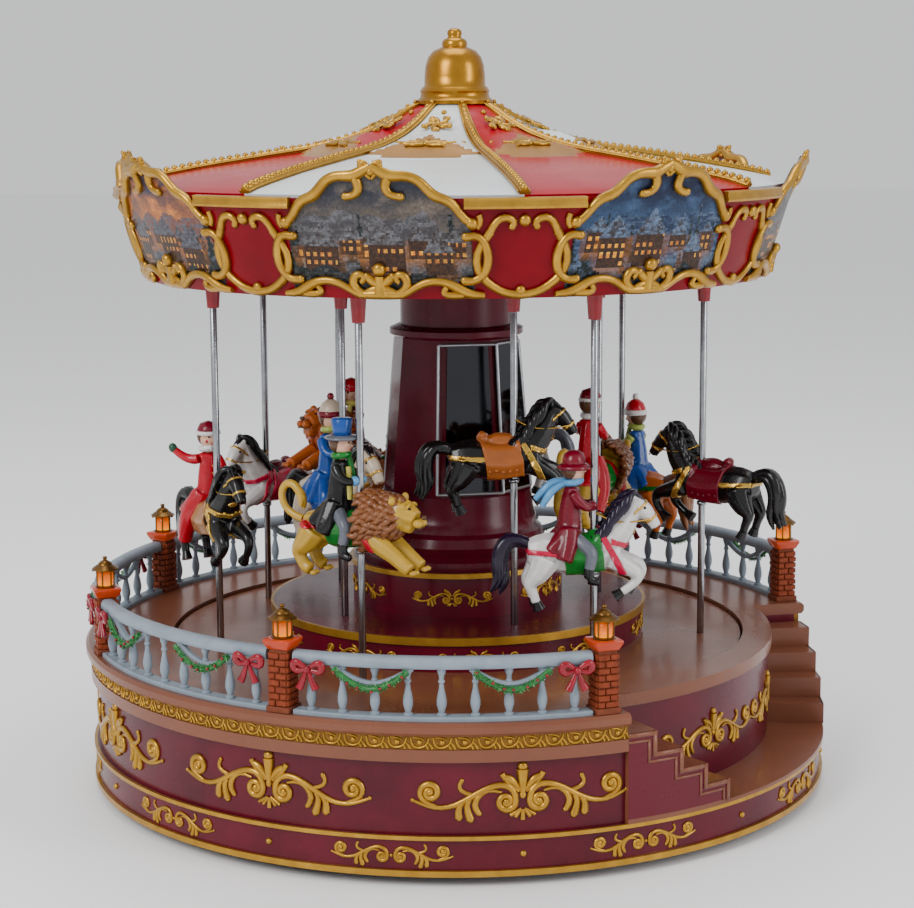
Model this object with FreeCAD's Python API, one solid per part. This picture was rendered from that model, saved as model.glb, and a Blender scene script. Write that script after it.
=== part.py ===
import FreeCAD, Part
import math
import os

# Wind-up carousel music box: a round base with a sunk stair landing, a turntable with
# twelve rising figures, a mirrored tower and a flared canopy.
# Millimetres, +Z up, origin at the centre of the circle the feet stand on.
# Angles are in degrees from the front (-Y), growing towards +X.

os.makedirs("parts", exist_ok=True)

V = FreeCAD.Vector
ORIGIN = V(0, 0, 0)
UP = V(0, 0, 1)

# ---- heights of the base ----
foot_height = 4.0
plinth_height = 14.9
step_rise = 8.0
step_count = 5
landing_plate = 1.3
deck_thickness = 4.7

plinth_bottom = foot_height
plinth_top = plinth_bottom + plinth_height
landing_top = plinth_top + landing_plate
deck_top = landing_top + step_rise * step_count
deck_bottom = deck_top - deck_thickness

frieze_height = 5.1
moulding_height = 4.5

# ---- radii of the base ----
base_radius = 149.0
wall_radius = 148.0
wall_thickness = 2.5
drum_radius = 127.6
deck_overhang = 4.5
band_proud = 1.3
cover_thickness = 2.2
cover_gap = 0.3

# ---- the stair opening ----
opening_start = 23.6
opening_end = 102.5
tread_angle = 4.42

# ---- turntable and centre platform ----
turntable_radius = 116.3
turntable_gap = 1.0
turntable_thickness = 3.5
turntable_drop = 1.5
platform_radius = 76.0
platform_height = 13.6
platform_wall = 2.5
platform_rim_height = 3.0

turntable_top = deck_top - turntable_drop
turntable_bottom = turntable_top - turntable_thickness
deck_hole_radius = turntable_radius + turntable_gap
platform_top = turntable_top + platform_height

# ---- tower ----
tower_drum_radius = 43.0
tower_drum_height = 15.9
tower_ring_height = 2.0
tower_base_height = 27.5
column_height = 62.5
column_bottom_radius = 29.5
column_top_radius = 24.5
column_wall = 2.5
cornice_height = 5.0
collar_radius = 22.7

tower_drum_top = platform_top + tower_drum_height
tower_base_bottom = tower_drum_top + tower_ring_height
column_bottom = tower_base_bottom + tower_base_height
column_top = column_bottom + column_height
cornice_top = column_top + cornice_height

# mirrors stand on these faces of the tower, counted from the one at small_panel_angle
mirror_faces = (0, 1, 4, 5)
mirror_margin = 1.6
mirror_thickness = 1.0

# ---- canopy and roof ----
canopy_bottom = 205.6
canopy_height = 35.4
canopy_bottom_radius = 123.5
canopy_flare = 0.313
canopy_wall = 2.0
canopy_sides = 8
ceiling_thickness = 2.5
small_panel_angle = 10.4
small_panel_width = 15.3
crest_height = 11.0
frame_width = 3.2
frame_thickness = 1.2
roof_height = 31.9
roof_wall = 2.0
finial_base_radius = 15.5
finial_height = 29.8

canopy_top = canopy_bottom + canopy_height
canopy_top_radius = canopy_bottom_radius + canopy_flare * canopy_height
segment_angle = 360.0 / canopy_sides
large_panel_width = segment_angle - small_panel_width
large_panel_angle = small_panel_angle - segment_angle / 2
roof_top = canopy_top + roof_height

# ---- poles and figures ----
pole_radius = 1.4
pole_clearance = 0.1
pole_travel = 6.0
outer_ring_radius = 100.0
outer_count = 7
outer_first_angle = 82.0
inner_ring_radius = 58.5
inner_count = 5
inner_first_angle = 22.0
sleeve_length = 11.0
sleeve_radius = 3.2
figure_width = 12.0
facets = 8
# height of each trunk at rest, outer ring then inner ring: each is fixed at its own height on its pole
outer_heights = [121.0, 107.0, 118.0, 110.5, 109.0, 111.0, 105.5]
inner_heights = [137.5, 119.0, 129.0, 126.0, 120.0]
# how far each pole rests above the middle of its travel
outer_lift = [2.5, -2.5, 1.5, -1.0, -2.0, 0.0, -1.5]
inner_lift = [2.5, -2.0, -0.5, 1.0, -1.5]
# degrees each figure stands swung round its pole from the way it travels
outer_turn = [60.0, -25.0, -7.0, 12.0, -6.0, 0.0, 5.0]
inner_turn = [-14.0, 0.0, -8.0, 0.0, -35.0]

# ---- cam plate and spindle ----
spindle_radius = 3.0
bush_radius = 5.5
running_clearance = 0.05
cam_plate_clearance = 0.8
cam_plate_thickness = 2.5
cam_width = 5.0
cam_wave = 3.0
cam_gap = 0.6
pillar_radius = 4.0
pillar_count = 6
pillar_ring_radius = 114.0

# ---- musical movement ----
well_radius = 22.0
well_wall = 2.0
well_top = 12.0
bedplate_thickness = 2.0
barrel_radius = 20.0
barrel_height = 11.4
barrel_gap = 0.6
face_gear_teeth = 60
face_gear_radius = 18.0
face_tooth_height = 1.2
face_tooth_width = 0.6
pinion_teeth = 8
cylinder_radius = 6.5
cylinder_length = 22.0
pin_height = 0.5
comb_tooth_count = 18
arbor_radius = 1.2
governor_gear_teeth = 24
governor_gear_radius = 6.0
governor_pinion_radius = 2.0
governor_arbor_radius = 0.8
key_arbor_radius = 2.0
key_ground_gap = 1.5

bedplate_top = well_top + bedplate_thickness
barrel_bottom = bedplate_top + barrel_gap
barrel_top = barrel_bottom + barrel_height
cylinder_pinion_radius = face_gear_radius * pinion_teeth / face_gear_teeth
cylinder_axis_height = barrel_top + 1.1 + cylinder_pinion_radius
cylinder_start = barrel_radius + 3.5
cylinder_end = cylinder_start + cylinder_length
end_bracket = cylinder_end + 1.5
governor_gear_start = end_bracket + 2.8
governor_axis_y = -(governor_gear_radius + governor_pinion_radius + 0.05)
cam_plate_bottom = cylinder_axis_height + cylinder_radius + pin_height + cam_plate_clearance
cam_plate_top = cam_plate_bottom + cam_plate_thickness
pole_foot_middle = cam_plate_top + 1.0 + 2 * cam_wave + cam_gap + pole_travel / 2

# ---- battery box ----
battery_radius = 7.25
battery_length = 50.5
battery_pitch = 15.5
battery_count = 3
battery_wall = 1.5
battery_front = 45.0
door_gap = 0.3
switch_slot_length = 11.0

# ---- posts, lanterns and balustrade ----
post_count = 7
post_first_angle = 20.6
post_pitch = 45.8
post_ring_radius = 146.0
post_width = 8.0
post_foot_flare = 0.7
post_height = 23.0
post_cap_width = 11.0
post_cap_height = 3.5
post_bore = 2.9
lantern_radius = 3.3
lantern_height = 7.2
lantern_roof_radius = 5.3
lantern_bars = 6
rail_radius = 146.3
rail_width = 5.6
base_rail_height = 1.6
top_rail_bottom = 18.4
top_rail_height = 4.3
baluster_count = 9
baluster_radius = 1.7
swags_per_section = 2
swag_radius = 1.7

post_top = deck_top + post_height + post_cap_height
closed_angle = 360.0 - (opening_end - opening_start)


# ---- shape helpers ----
def spot(radius, angle, height):
    a = math.radians(angle)
    return V(radius * math.sin(a), -radius * math.cos(a), height)


def turned(points, start=0.0, sweep=360.0):
    """Solid turned about Z from (radius, height) points, starting at an angle from the front."""
    corners = [V(0, -r, z) for r, z in points]
    face = Part.Face(Part.makePolygon(corners + [corners[0]]))
    if sweep < 360.0:
        face.rotate(ORIGIN, UP, start)
    return face.revolve(ORIGIN, UP, sweep)


def tube(inner, outer, low, high, start=0.0, sweep=360.0):
    return turned([(inner, low), (outer, low), (outer, high), (inner, high)], start, sweep)


def disc(radius, low, high):
    return Part.makeCylinder(radius, high - low, V(0, 0, low))


def rod(radius, start, end):
    return Part.makeCylinder(radius, (end - start).Length, start, end - start)


def taper(radius_a, radius_b, start, end):
    return Part.makeCone(radius_a, radius_b, (end - start).Length, start, end - start)


def block(centre, size):
    corner = V(centre[0] - size[0] / 2, centre[1] - size[1] / 2, centre[2] - size[2] / 2)
    return Part.makeBox(size[0], size[1], size[2], corner)


def ball(radius, centre):
    return Part.makeSphere(radius, centre)


def turned_to(shape, angle):
    """A piece modelled at the front, carried round to an angle."""
    copy = shape.copy()
    copy.rotate(ORIGIN, UP, angle)
    return copy


def joined(shapes):
    first = shapes[0]
    if len(shapes) == 1:
        return first
    return first.fuse(shapes[1:]).removeSplitter()


def save(name, solids):
    flat = []
    for solid in solids:
        flat.extend(solid.Solids)
    shape = flat[0] if len(flat) == 1 else Part.makeCompound(flat)
    shape.exportStep("parts/" + name + ".step")


outer_pole_angles = [outer_first_angle - 360.0 / outer_count * k for k in range(outer_count)]
inner_pole_angles = [inner_first_angle - 360.0 / inner_count * k for k in range(inner_count)]
post_angles = [post_first_angle - post_pitch * k for k in range(post_count)]
pole_places = [(outer_ring_radius, a) for a in outer_pole_angles]
pole_places += [(inner_ring_radius, a) for a in inner_pole_angles]


def pole_holes(places, low, high):
    return [rod(pole_radius + pole_clearance, spot(r, a, low), spot(r, a, high)) for r, a in places]


# ---- base ----
def opening_cut(inner, margin, low, high):
    spread = math.degrees(margin / drum_radius)
    start = opening_start - spread
    return tube(inner, base_radius + 20, low, high, start, opening_end - opening_start + 2 * spread)


def make_base_cover():
    cover_radius = base_radius - wall_thickness - cover_gap
    top = plinth_bottom + cover_thickness
    cover = disc(cover_radius, plinth_bottom, top)
    well = disc(well_radius + well_wall, plinth_bottom, well_top)
    cover = cover.fuse(well)
    cuts = [disc(well_radius, plinth_bottom - 1, well_top - well_wall)]
    cuts.append(disc(key_arbor_radius + running_clearance, 0, well_top + 1))
    width, depth, middle = battery_bay()
    cuts.append(block((0, middle, plinth_bottom), (width, depth, 3 * cover_thickness)))
    cuts.append(block((switch_x(), 0, plinth_bottom), (switch_slot_length, 4.4, 3 * cover_thickness)))
    for angle in screw_angles():
        cuts.append(disc_at(screw_ring_radius(), angle, 1.7, plinth_bottom - 1, top + 1))
        cuts.append(disc_at(screw_ring_radius(), angle, 3.3, plinth_bottom - 1, plinth_bottom + 1.1))
    return [cover.cut(cuts)]


def disc_at(ring, angle, radius, low, high):
    return rod(radius, spot(ring, angle, low), spot(ring, angle, high))


def switch_x():
    return -(well_radius + 40.0)


def screw_angles():
    return [30.0 + 60.0 * k for k in range(6)]


def screw_ring_radius():
    return pillar_ring_radius


def battery_bay():
    width = battery_pitch * battery_count + 2.0
    depth = battery_length + 4.0
    return width, depth, battery_front + depth / 2


def make_feet():
    count = 8
    angles = [-30.0 + 360.0 / count * k for k in range(count)]
    return [disc_at(base_radius - 14.0, a, 5.0, 0, foot_height) for a in angles]


def make_screws():
    screws = []
    for angle in screw_angles():
        head = disc_at(screw_ring_radius(), angle, 3.0, plinth_bottom + 0.1, plinth_bottom + 1.1)
        shank_top = plinth_bottom + cover_thickness + 8
        shank = disc_at(screw_ring_radius(), angle, 1.5, plinth_bottom + 1.0, shank_top)
        screws.append(head.fuse(shank))
    return screws


def make_plinth():
    inner = base_radius - wall_thickness
    ledge = drum_radius - wall_thickness
    return [turned([(inner, plinth_bottom), (base_radius, plinth_bottom), (base_radius, plinth_top),
                    (ledge, plinth_top), (ledge, plinth_top - 2.0), (inner, plinth_top - 2.0)])]


def make_upper_wall():
    outer = disc(wall_radius, plinth_top, deck_bottom)
    outer = outer.cut(opening_cut(drum_radius, 0.0, plinth_top - 1, deck_bottom + 1))
    inner = disc(wall_radius - wall_thickness, plinth_top - 1, deck_bottom + 1)
    notch = opening_cut(drum_radius - wall_thickness, wall_thickness, plinth_top - 2, deck_bottom + 2)
    return [outer.cut(inner.cut(notch))]


def make_deck_ring():
    outer = wall_radius + deck_overhang
    edge = 1.2
    profile = [(deck_hole_radius, deck_bottom), (outer - edge, deck_bottom), (outer, deck_bottom + edge),
               (outer, deck_top - edge), (outer - edge, deck_top), (deck_hole_radius, deck_top)]
    deck = turned(profile)
    deck = deck.cut(opening_cut(drum_radius + 1.4, 0.0, deck_bottom - 1, deck_top + 1))
    holes = [disc_at(wire_ring_radius() + 1.4, a, 1.0, deck_bottom - 1, deck_top + 1) for a in post_angles]
    deck = deck.cut(holes)
    low = deck_bottom - frieze_height - moulding_height
    moulding = tube(wall_radius, wall_radius + 2.6, low, low + moulding_height, opening_end, closed_angle)
    return [deck, moulding]


def make_gold_bands():
    bottom = tube(base_radius, base_radius + band_proud, plinth_bottom, plinth_bottom + 2.2)
    middle = tube(base_radius, base_radius + band_proud, plinth_top - 1.5, plinth_top)
    return [bottom, middle]


def make_leaf_frieze():
    low = deck_bottom - frieze_height
    return [tube(wall_radius, wall_radius + 2.0, low, deck_bottom, opening_end, closed_angle)]


def make_stairs():
    outer = base_radius + 1.5
    landing = tube(drum_radius, outer, plinth_top, landing_top, opening_start, opening_end - opening_start)
    pieces = []
    for flight in (1, -1):
        treads = []
        for step in range(step_count - 1):
            tread_top = deck_top - step_rise * (step + 1)
            sweep = tread_angle * (step + 1)
            start = opening_start if flight > 0 else opening_end - sweep
            treads.append(tube(drum_radius, outer, landing_top, tread_top, start, sweep))
        pieces.append(joined(treads))
    return [landing] + pieces


# ---- applied ornament ----
def scroll(radius, height, size, reach):
    """Mirrored scroll: a curved stem, volutes as rings, and a centre boss; modelled at the front."""
    thick = 0.09 * size
    stem_angle = math.degrees(reach / radius)
    pieces = [tube(radius, radius + thick, height - thick, height + thick, -stem_angle, 2 * stem_angle)]
    pieces.append(rod(0.32 * size, V(0, -radius, height), V(0, -radius - thick * 1.6, height)))
    for side in (-1, 1):
        for share, ring in ((0.42, 0.30), (0.86, 0.34)):
            angle = side * stem_angle * share
            volute = Part.makeTorus(ring * size, thick, V(0, -radius - thick, height), V(0, 1, 0))
            pieces.append(turned_to(volute, angle))
    return joined(pieces)


def scroll_angles(first, exclude_opening):
    angles = [first - 36.0 * k for k in range(10)]
    if not exclude_opening:
        return angles
    return [a for a in angles if not opening_start - 8 < (a + 360) % 360 < opening_end + 8]


def make_base_scrolls():
    middle = (plinth_top + deck_bottom - frieze_height - moulding_height) / 2
    big = scroll(wall_radius + 0.02, middle, 17.0, 33.0)
    pieces = [turned_to(big, a) for a in scroll_angles(8.7, True)]
    drum_middle = (landing_top + deck_bottom) / 2
    drum = scroll(drum_radius + 0.02, drum_middle, 17.0, 22.0)
    pieces.append(turned_to(drum, (opening_start + opening_end) / 2))
    small = scroll(base_radius + 0.02, (plinth_bottom + plinth_top) / 2 + 0.4, 8.0, 23.0)
    pieces += [turned_to(small, a) for a in scroll_angles(-9.3, False)]
    stud_height = (plinth_bottom + plinth_top) / 2
    for angle in scroll_angles(8.7, False):
        out = spot(1.0, angle, 0.0)
        centre = out * base_radius + UP * stud_height
        pieces.append(rod(1.3, centre, centre + out * 1.2))
    return pieces


# ---- balustrade, posts and lanterns ----
def make_posts():
    half = post_width / 2
    shaft_top = deck_top + post_height
    shaft = block((0, -post_ring_radius, deck_top + post_height / 2), (post_width, post_width, post_height))
    foot_width = post_width + 2 * post_foot_flare
    foot = block((0, -post_ring_radius, deck_top + 1.0), (foot_width, foot_width, 2.0))
    bottom = square(half + 0.2, shaft_top)
    top = square(post_cap_width / 2, shaft_top + post_cap_height * 0.6)
    cap = Part.makeLoft([bottom, top], True, True)
    slab = block((0, -post_ring_radius, shaft_top + post_cap_height * 0.8),
                 (post_cap_width, post_cap_width, post_cap_height * 0.4))
    post = joined([shaft, foot, cap, slab])
    post = post.cut(disc_at(post_ring_radius, 0, post_bore, deck_top - 1, post_top + 1))
    return [turned_to(post, a) for a in post_angles]


def square(half, height):
    y = -post_ring_radius
    corners = [V(-half, y - half, height), V(half, y - half, height),
               V(half, y + half, height), V(-half, y + half, height)]
    return Part.makePolygon(corners + [corners[0]])


def lantern_turned(points):
    shape = turned(points)
    shape.translate(V(0, -post_ring_radius, 0))
    return shape


def make_lantern_frames():
    low = post_top
    eave = low + lantern_height
    ring_outer = lantern_radius + 0.7
    foot = lantern_turned([(lantern_radius, low), (ring_outer, low), (ring_outer, low + 0.8),
                           (lantern_radius, low + 0.8)])
    roof = lantern_turned([(0, eave), (lantern_roof_radius, eave), (lantern_roof_radius, eave + 0.7),
                           (1.6, eave + 3.2), (0.6, eave + 3.9), (1.0, eave + 4.5), (0, eave + 5.3)])
    bars = []
    for k in range(lantern_bars):
        a = math.radians(360.0 / lantern_bars * k + 30)
        x = (lantern_radius + 0.35) * math.cos(a)
        y = (lantern_radius + 0.35) * math.sin(a) - post_ring_radius
        bars.append(rod(0.32, V(x, y, low + 0.4), V(x, y, eave + 0.4)))
    frame = joined([foot, roof] + bars)
    return [turned_to(frame, a) for a in post_angles]


def make_lantern_lenses():
    wall = 0.7
    low = post_top
    high = low + lantern_height
    lens = lantern_turned([(lantern_radius - wall, low), (lantern_radius - 0.02, low),
                           (lantern_radius - 0.02, high), (lantern_radius - wall, high)])
    return [turned_to(lens, a) for a in post_angles]


def make_leds():
    base = disc_at(post_ring_radius, 0, post_bore - 0.1, post_top - 1.5, post_top)
    bulb = disc_at(post_ring_radius, 0, 1.5, post_top, post_top + 2.4)
    dome = ball(1.5, spot(post_ring_radius, 0, post_top + 2.4))
    led = joined([base, bulb, dome])
    return [turned_to(led, a) for a in post_angles]


def wire_ring_radius():
    return wall_radius - wall_thickness - 3.2


def make_led_wiring():
    height = deck_bottom - 3.0
    half = 0.5
    ring = wire_ring_radius()
    span = closed_angle - 4.0
    pieces = [tube(ring - half, ring + half, height - half, height + half, opening_end + 2.0, span)]
    riser_ring = ring + 1.4
    for angle in post_angles:
        reach = riser_ring - ring + 2 * half
        stub = block((0, -(ring + riser_ring) / 2, height), (2 * half, reach, 2 * half))
        rise = post_top - 1.5 - height
        riser = block((0, -riser_ring, height + rise / 2), (2 * half, 2 * half, rise))
        pieces += [turned_to(stub, angle), turned_to(riser, angle)]
    return [joined(pieces)]


def section_span():
    post_share = math.degrees((post_width / 2 + post_foot_flare + 0.2) / post_ring_radius)
    return post_share, post_pitch - 2 * post_share


def make_balustrades():
    post_share, sweep = section_span()
    inner = rail_radius - rail_width / 2
    outer = rail_radius + rail_width / 2
    sections = []
    for angle in post_angles[:-1]:
        start = angle - post_pitch + post_share
        base = tube(inner, outer, deck_top, deck_top + base_rail_height, start, sweep)
        low = deck_top + top_rail_bottom
        high = low + top_rail_height
        soft = 1.1
        rail = turned([(inner, low + soft), (inner + soft, low), (outer - soft, low), (outer, low + soft),
                       (outer, high - soft), (outer - soft, high), (inner + soft, high), (inner, high - soft)],
                      start, sweep)
        balusters = []
        for k in range(baluster_count):
            place = start + sweep * (k + 0.5) / baluster_count
            balusters.append(turned_to(one_baluster(), place))
        sections.append(joined([base, rail] + balusters))
    return sections


def one_baluster():
    low = deck_top + base_rail_height - 0.2
    high = deck_top + top_rail_bottom + 0.6
    tall = high - low
    r = baluster_radius
    points = [(0, low), (r, low), (r, low + 0.10 * tall), (0.55 * r, low + 0.16 * tall),
              (1.05 * r, low + 0.38 * tall), (0.5 * r, low + 0.80 * tall), (r, low + 0.90 * tall),
              (r, high), (0, high)]
    shape = turned(points)
    shape.translate(V(0, -rail_radius, 0))
    return shape


def make_garlands():
    sag_radius = 21.0
    half_angle = 38.0
    outer = rail_radius + rail_width / 2 + swag_radius + 0.3
    lift = sag_radius * math.cos(math.radians(half_angle))
    centre = V(0, -outer, deck_top + top_rail_bottom + 1.0 + lift)
    section = Part.Wire(Part.makeCircle(swag_radius, centre - V(0, 0, sag_radius), V(1, 0, 0)))
    swag = Part.Face(section).revolve(centre, V(0, 1, 0), 2 * half_angle)
    swag.rotate(centre, V(0, 1, 0), -half_angle)
    swags = []
    for angle in post_angles[:-1]:
        for k in range(swags_per_section):
            swags.append(turned_to(swag, angle - post_pitch * swag_share(k)))
    return swags


def swag_share(k):
    return 0.29 + 0.42 * k


def make_bows():
    outer = rail_radius + rail_width / 2 + 1.7
    height = deck_top + top_rail_bottom - 1.5
    bows = []
    for angle in post_angles[:-1]:
        for share in (0.1, 0.9):
            knot = ball(1.33, V(0, -outer, height))
            centre = V(0, -outer, height)
            loops = [taper(0.7, 2.0, centre, centre + V(side * 4.4, 0, 1.4)) for side in (-1, 1)]
            tails = [taper(0.6, 1.1, centre, centre + V(side * 2.6, 0, -6.0)) for side in (-1, 1)]
            bows.append(turned_to(joined([knot] + loops + tails), angle - post_pitch * share))
    return bows


# ---- inside the base ----
def make_cam_plate():
    plate = disc(pillar_ring_radius + pillar_radius + 1.5, cam_plate_bottom, cam_plate_top)
    pieces = [plate]
    for k in range(pillar_count):
        angle = 360.0 / pillar_count * k + 30.0
        pieces.append(disc_at(pillar_ring_radius, angle, pillar_radius, plinth_bottom + cover_thickness,
                              cam_plate_bottom + 0.5))
    body = joined(pieces)
    bores = [disc_at(screw_ring_radius(), a, 1.55, plinth_bottom, plinth_bottom + cover_thickness + 9)
             for a in screw_angles()]
    bores.append(disc(bush_radius, cam_plate_bottom - 1, cam_plate_top + 1))
    return [body.cut(bores)] + [cam_track(r) for r in (outer_ring_radius, inner_ring_radius)]


def cam_track(ring):
    """Wavy track: four rises, each wedge-shaped in plan, on a level ring."""
    ring_top = cam_plate_top + 1.0
    pieces = [tube(ring - cam_width / 2, ring + cam_width / 2, cam_plate_top, ring_top)]
    levels = 6
    for rise in range(4):
        for level in range(1, levels + 1):
            sweep = 84.0 * math.acos(2.0 * level / levels - 1.0) / math.pi
            if sweep > 0.5:
                top = ring_top + 2 * cam_wave * level / levels
                start = rise * 90.0 - sweep / 2
                step = tube(ring - cam_width / 2, ring + cam_width / 2, cam_plate_top, top, start, sweep)
                pieces.append(step)
    return joined(pieces)


def make_spindle_bush():
    low = cam_plate_bottom
    high = turntable_bottom - 4.3
    return [tube(spindle_radius + running_clearance, bush_radius, low, high)]


def bar_gear(teeth, tip, root, width, start, length, centre_y, phase, bore=0.0):
    """Straight-toothed wheel on an X axis; phase is the angle of its first tooth from +Y."""
    middle = V(start, centre_y, cylinder_axis_height)
    body = rod(root, middle, middle + V(length, 0, 0))
    cutters = []
    for k in range(teeth):
        bar = Part.makeBox(length, tip, width, V(start, centre_y, cylinder_axis_height - width / 2))
        bar.rotate(middle, V(1, 0, 0), phase + 360.0 / teeth * k)
        cutters.append(bar)
    return joined([body] + cutters)


def make_bedplate():
    low = well_top
    left = -barrel_radius - 2.0
    right = governor_gear_start + 14.0
    plate = Part.makeBox(right - left, 46.0, bedplate_thickness, V(left, -22.0, low))
    wide = -2 * governor_axis_y
    brackets = []
    cheeks = ((cylinder_start - 2.0, 8.0), (end_bracket - 0.5, wide + 6.0), (right - 2.0, wide + 6.0))
    for x, depth in cheeks:
        middle = 0.0 if depth < 10 else governor_axis_y / 2
        height = cylinder_axis_height + 3.2 - low
        brackets.append(Part.makeBox(1.5, depth, height, V(x, middle - depth / 2, low)))
    rest_height = cylinder_axis_height - 0.5 - low
    rest = Part.makeBox(cylinder_length, 8.0, rest_height, V(cylinder_start, 13.0, low))
    body = joined([plate, rest] + brackets)
    axis_high = cylinder_axis_height
    far = right + 5.0
    bore = arbor_radius + running_clearance
    bores = [rod(bore, V(barrel_radius, 0, axis_high), V(far - 10, 0, axis_high))]
    bore = governor_arbor_radius + running_clearance
    bores.append(rod(bore, V(barrel_radius, governor_axis_y, axis_high),
                     V(far, governor_axis_y, axis_high)))
    bores.append(disc(key_arbor_radius + running_clearance, low - 1, bedplate_top + 1))
    return [body.cut(bores)]


def make_comb():
    reach = cylinder_radius + pin_height + 0.35
    plate = Part.makeBox(cylinder_length, 21.0 - reach, 1.0,
                         V(cylinder_start, reach, cylinder_axis_height - 0.5))
    pitch = cylinder_length / comb_tooth_count
    slots = []
    for k in range(1, comb_tooth_count):
        x = cylinder_start + pitch * k
        slots.append(Part.makeBox(0.3, 7.5, 3.0, V(x - 0.15, reach - 1.0, cylinder_axis_height - 1.5)))
    return [plate.cut(slots)]


def make_cylinder():
    axis_high = cylinder_axis_height
    body = rod(cylinder_radius, V(cylinder_start, 0, axis_high), V(cylinder_end, 0, axis_high))
    arbor_end = V(governor_gear_start + 3.0, 0, axis_high)
    arbor = rod(arbor_radius, V(barrel_radius - 3.2, 0, axis_high), arbor_end)
    pinion = bar_gear(pinion_teeth, 3.1, 1.75, 0.56, barrel_radius - 3.0, 2.6, 0.0, -90.0)
    wheel = bar_gear(governor_gear_teeth, governor_gear_radius + 0.45, governor_gear_radius - 0.75, 0.5,
                     governor_gear_start, 2.0, 0.0, 180.0)
    pins = []
    pitch = cylinder_length / comb_tooth_count
    for k in range(comb_tooth_count):
        for n in range(2):
            turn = math.radians(67.0 * k + 180.0 * n + 31.0 * (k % 3))
            x = cylinder_start + pitch * (k + 0.5)
            out = V(0, math.cos(turn), math.sin(turn))
            centre = V(x, 0, axis_high)
            tip = centre + out * (cylinder_radius + pin_height)
            pins.append(rod(0.25, centre + out * (cylinder_radius - 0.5), tip))
    return [joined([body, arbor, pinion, wheel] + pins)]


def make_governor():
    axis_high = cylinder_axis_height
    y = governor_axis_y
    start = end_bracket - 2.0
    end = governor_gear_start + 16.0
    arbor = rod(governor_arbor_radius, V(start, y, axis_high), V(end, y, axis_high))
    pinion = bar_gear(pinion_teeth, governor_pinion_radius + 0.45, governor_pinion_radius - 0.75, 0.5,
                      governor_gear_start - 0.2, 2.4, y, 180.0 / pinion_teeth)
    fly_start = governor_gear_start + 4.0
    fly = block((fly_start + 3.0, y, axis_high), (6.0, 10.0, 0.8))
    return [joined([arbor, pinion, fly])]


def make_spring_barrel():
    drum = disc(barrel_radius, barrel_bottom, barrel_top)
    teeth = []
    for k in range(face_gear_teeth):
        tooth = Part.makeBox(3.6, face_tooth_width, face_tooth_height + 0.2,
                             V(barrel_radius - 3.8, -face_tooth_width / 2, barrel_top - 0.2))
        tooth.rotate(ORIGIN, UP, 360.0 / face_gear_teeth * (k + 0.5))
        teeth.append(tooth)
    barrel = drum.fuse(teeth)
    arbor_bore = disc(key_arbor_radius + running_clearance, barrel_bottom - 1, barrel_top - 3.0)
    return [barrel.cut(arbor_bore)]


def make_spindle():
    low = barrel_top
    shaft = disc(spindle_radius, low, turntable_top)
    boss = disc(spindle_radius + 3.0, low, low + 1.0)
    return [joined([shaft, boss])]


def make_winding_key():
    low = key_ground_gap
    hub_top = well_top - well_wall - 0.5
    arbor = disc(key_arbor_radius, hub_top - 2.0, barrel_top - 3.4)
    hub = disc(3.6, low + 1.0, hub_top)
    wings = block((0, 0, low + 3.5), (30.0, 1.8, 7.0))
    eyes = [rod(2.0, V(s * 10.0, -2, low + 3.5), V(s * 10.0, 2, low + 3.5)) for s in (-1, 1)]
    return [joined([arbor, hub, wings]).cut(eyes)]


# ---- battery box and switch ----
def make_battery_box():
    width, depth, middle = battery_bay()
    low = plinth_bottom + cover_thickness
    high = low + 2 * battery_radius + 2.5
    size = (width + 2 * battery_wall, depth + 2 * battery_wall)
    outer = block((0, middle, (low + high) / 2), (size[0], size[1], high - low))
    inner = block((0, middle, (low + high) / 2 - battery_wall), (width, depth, high - low))
    return [outer.cut(inner)]


def make_batteries():
    middle = battery_bay()[2]
    height = plinth_bottom + cover_thickness + battery_radius + 0.4
    cells = []
    for k in range(battery_count):
        x = (k - (battery_count - 1) / 2) * battery_pitch
        front = middle - battery_length / 2
        flip = 1 if k % 2 == 0 else -1
        cell = rod(battery_radius, V(x, front, height), V(x, front + battery_length - 1.0, height))
        nub = rod(2.6, V(x, front + battery_length - 1.1, height), V(x, front + battery_length, height))
        whole = joined([cell, nub])
        if flip < 0:
            whole.rotate(V(x, middle, height), UP, 180)
        cells.append(whole)
    return cells


def make_battery_door():
    width, depth, middle = battery_bay()
    return [block((0, middle, plinth_bottom + cover_thickness / 2),
                  (width - 2 * door_gap, depth - 2 * door_gap, cover_thickness))]


def make_switch():
    top = plinth_bottom + cover_thickness
    x = switch_x() - 2.5
    knob = block((x, 0, (top + plinth_bottom - 1.4) / 2), (5.0, 3.6, top - plinth_bottom + 1.4))
    flange = block((x, 0, top + 0.9), (7.0, 8.0, 1.2))
    return [joined([knob, block((x, 0, top + 0.2), (3.0, 3.0, 1.0)), flange])]


# ---- turntable and tower ----
def make_turntable():
    plate = disc(turntable_radius, turntable_bottom, turntable_top)
    skirt = tube(turntable_radius - 3.0, turntable_radius, turntable_bottom - 4.0, turntable_bottom + 0.5)
    hub = disc(bush_radius + 3.0, turntable_bottom - 4.0, turntable_bottom + 0.5)
    body = joined([plate, skirt, hub])
    cuts = pole_holes(pole_places, turntable_bottom - 5, turntable_top + 1)
    cuts.append(disc(spindle_radius, turntable_bottom - 5, turntable_top + 1))
    return [body.cut(cuts)]


def make_centre_platform():
    shell = turned([(platform_radius - platform_wall, turntable_top), (platform_radius, turntable_top),
                    (platform_radius, platform_top), (0, platform_top), (0, platform_top - platform_wall),
                    (platform_radius - platform_wall, platform_top - platform_wall)])
    inner = [p for p in pole_places if p[0] == inner_ring_radius]
    return [shell.cut(pole_holes(inner, turntable_top, platform_top + 1))]


def make_platform_rim():
    low = platform_top - platform_rim_height
    return [tube(platform_radius, platform_radius + 1.2, low, platform_top)]


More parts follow.
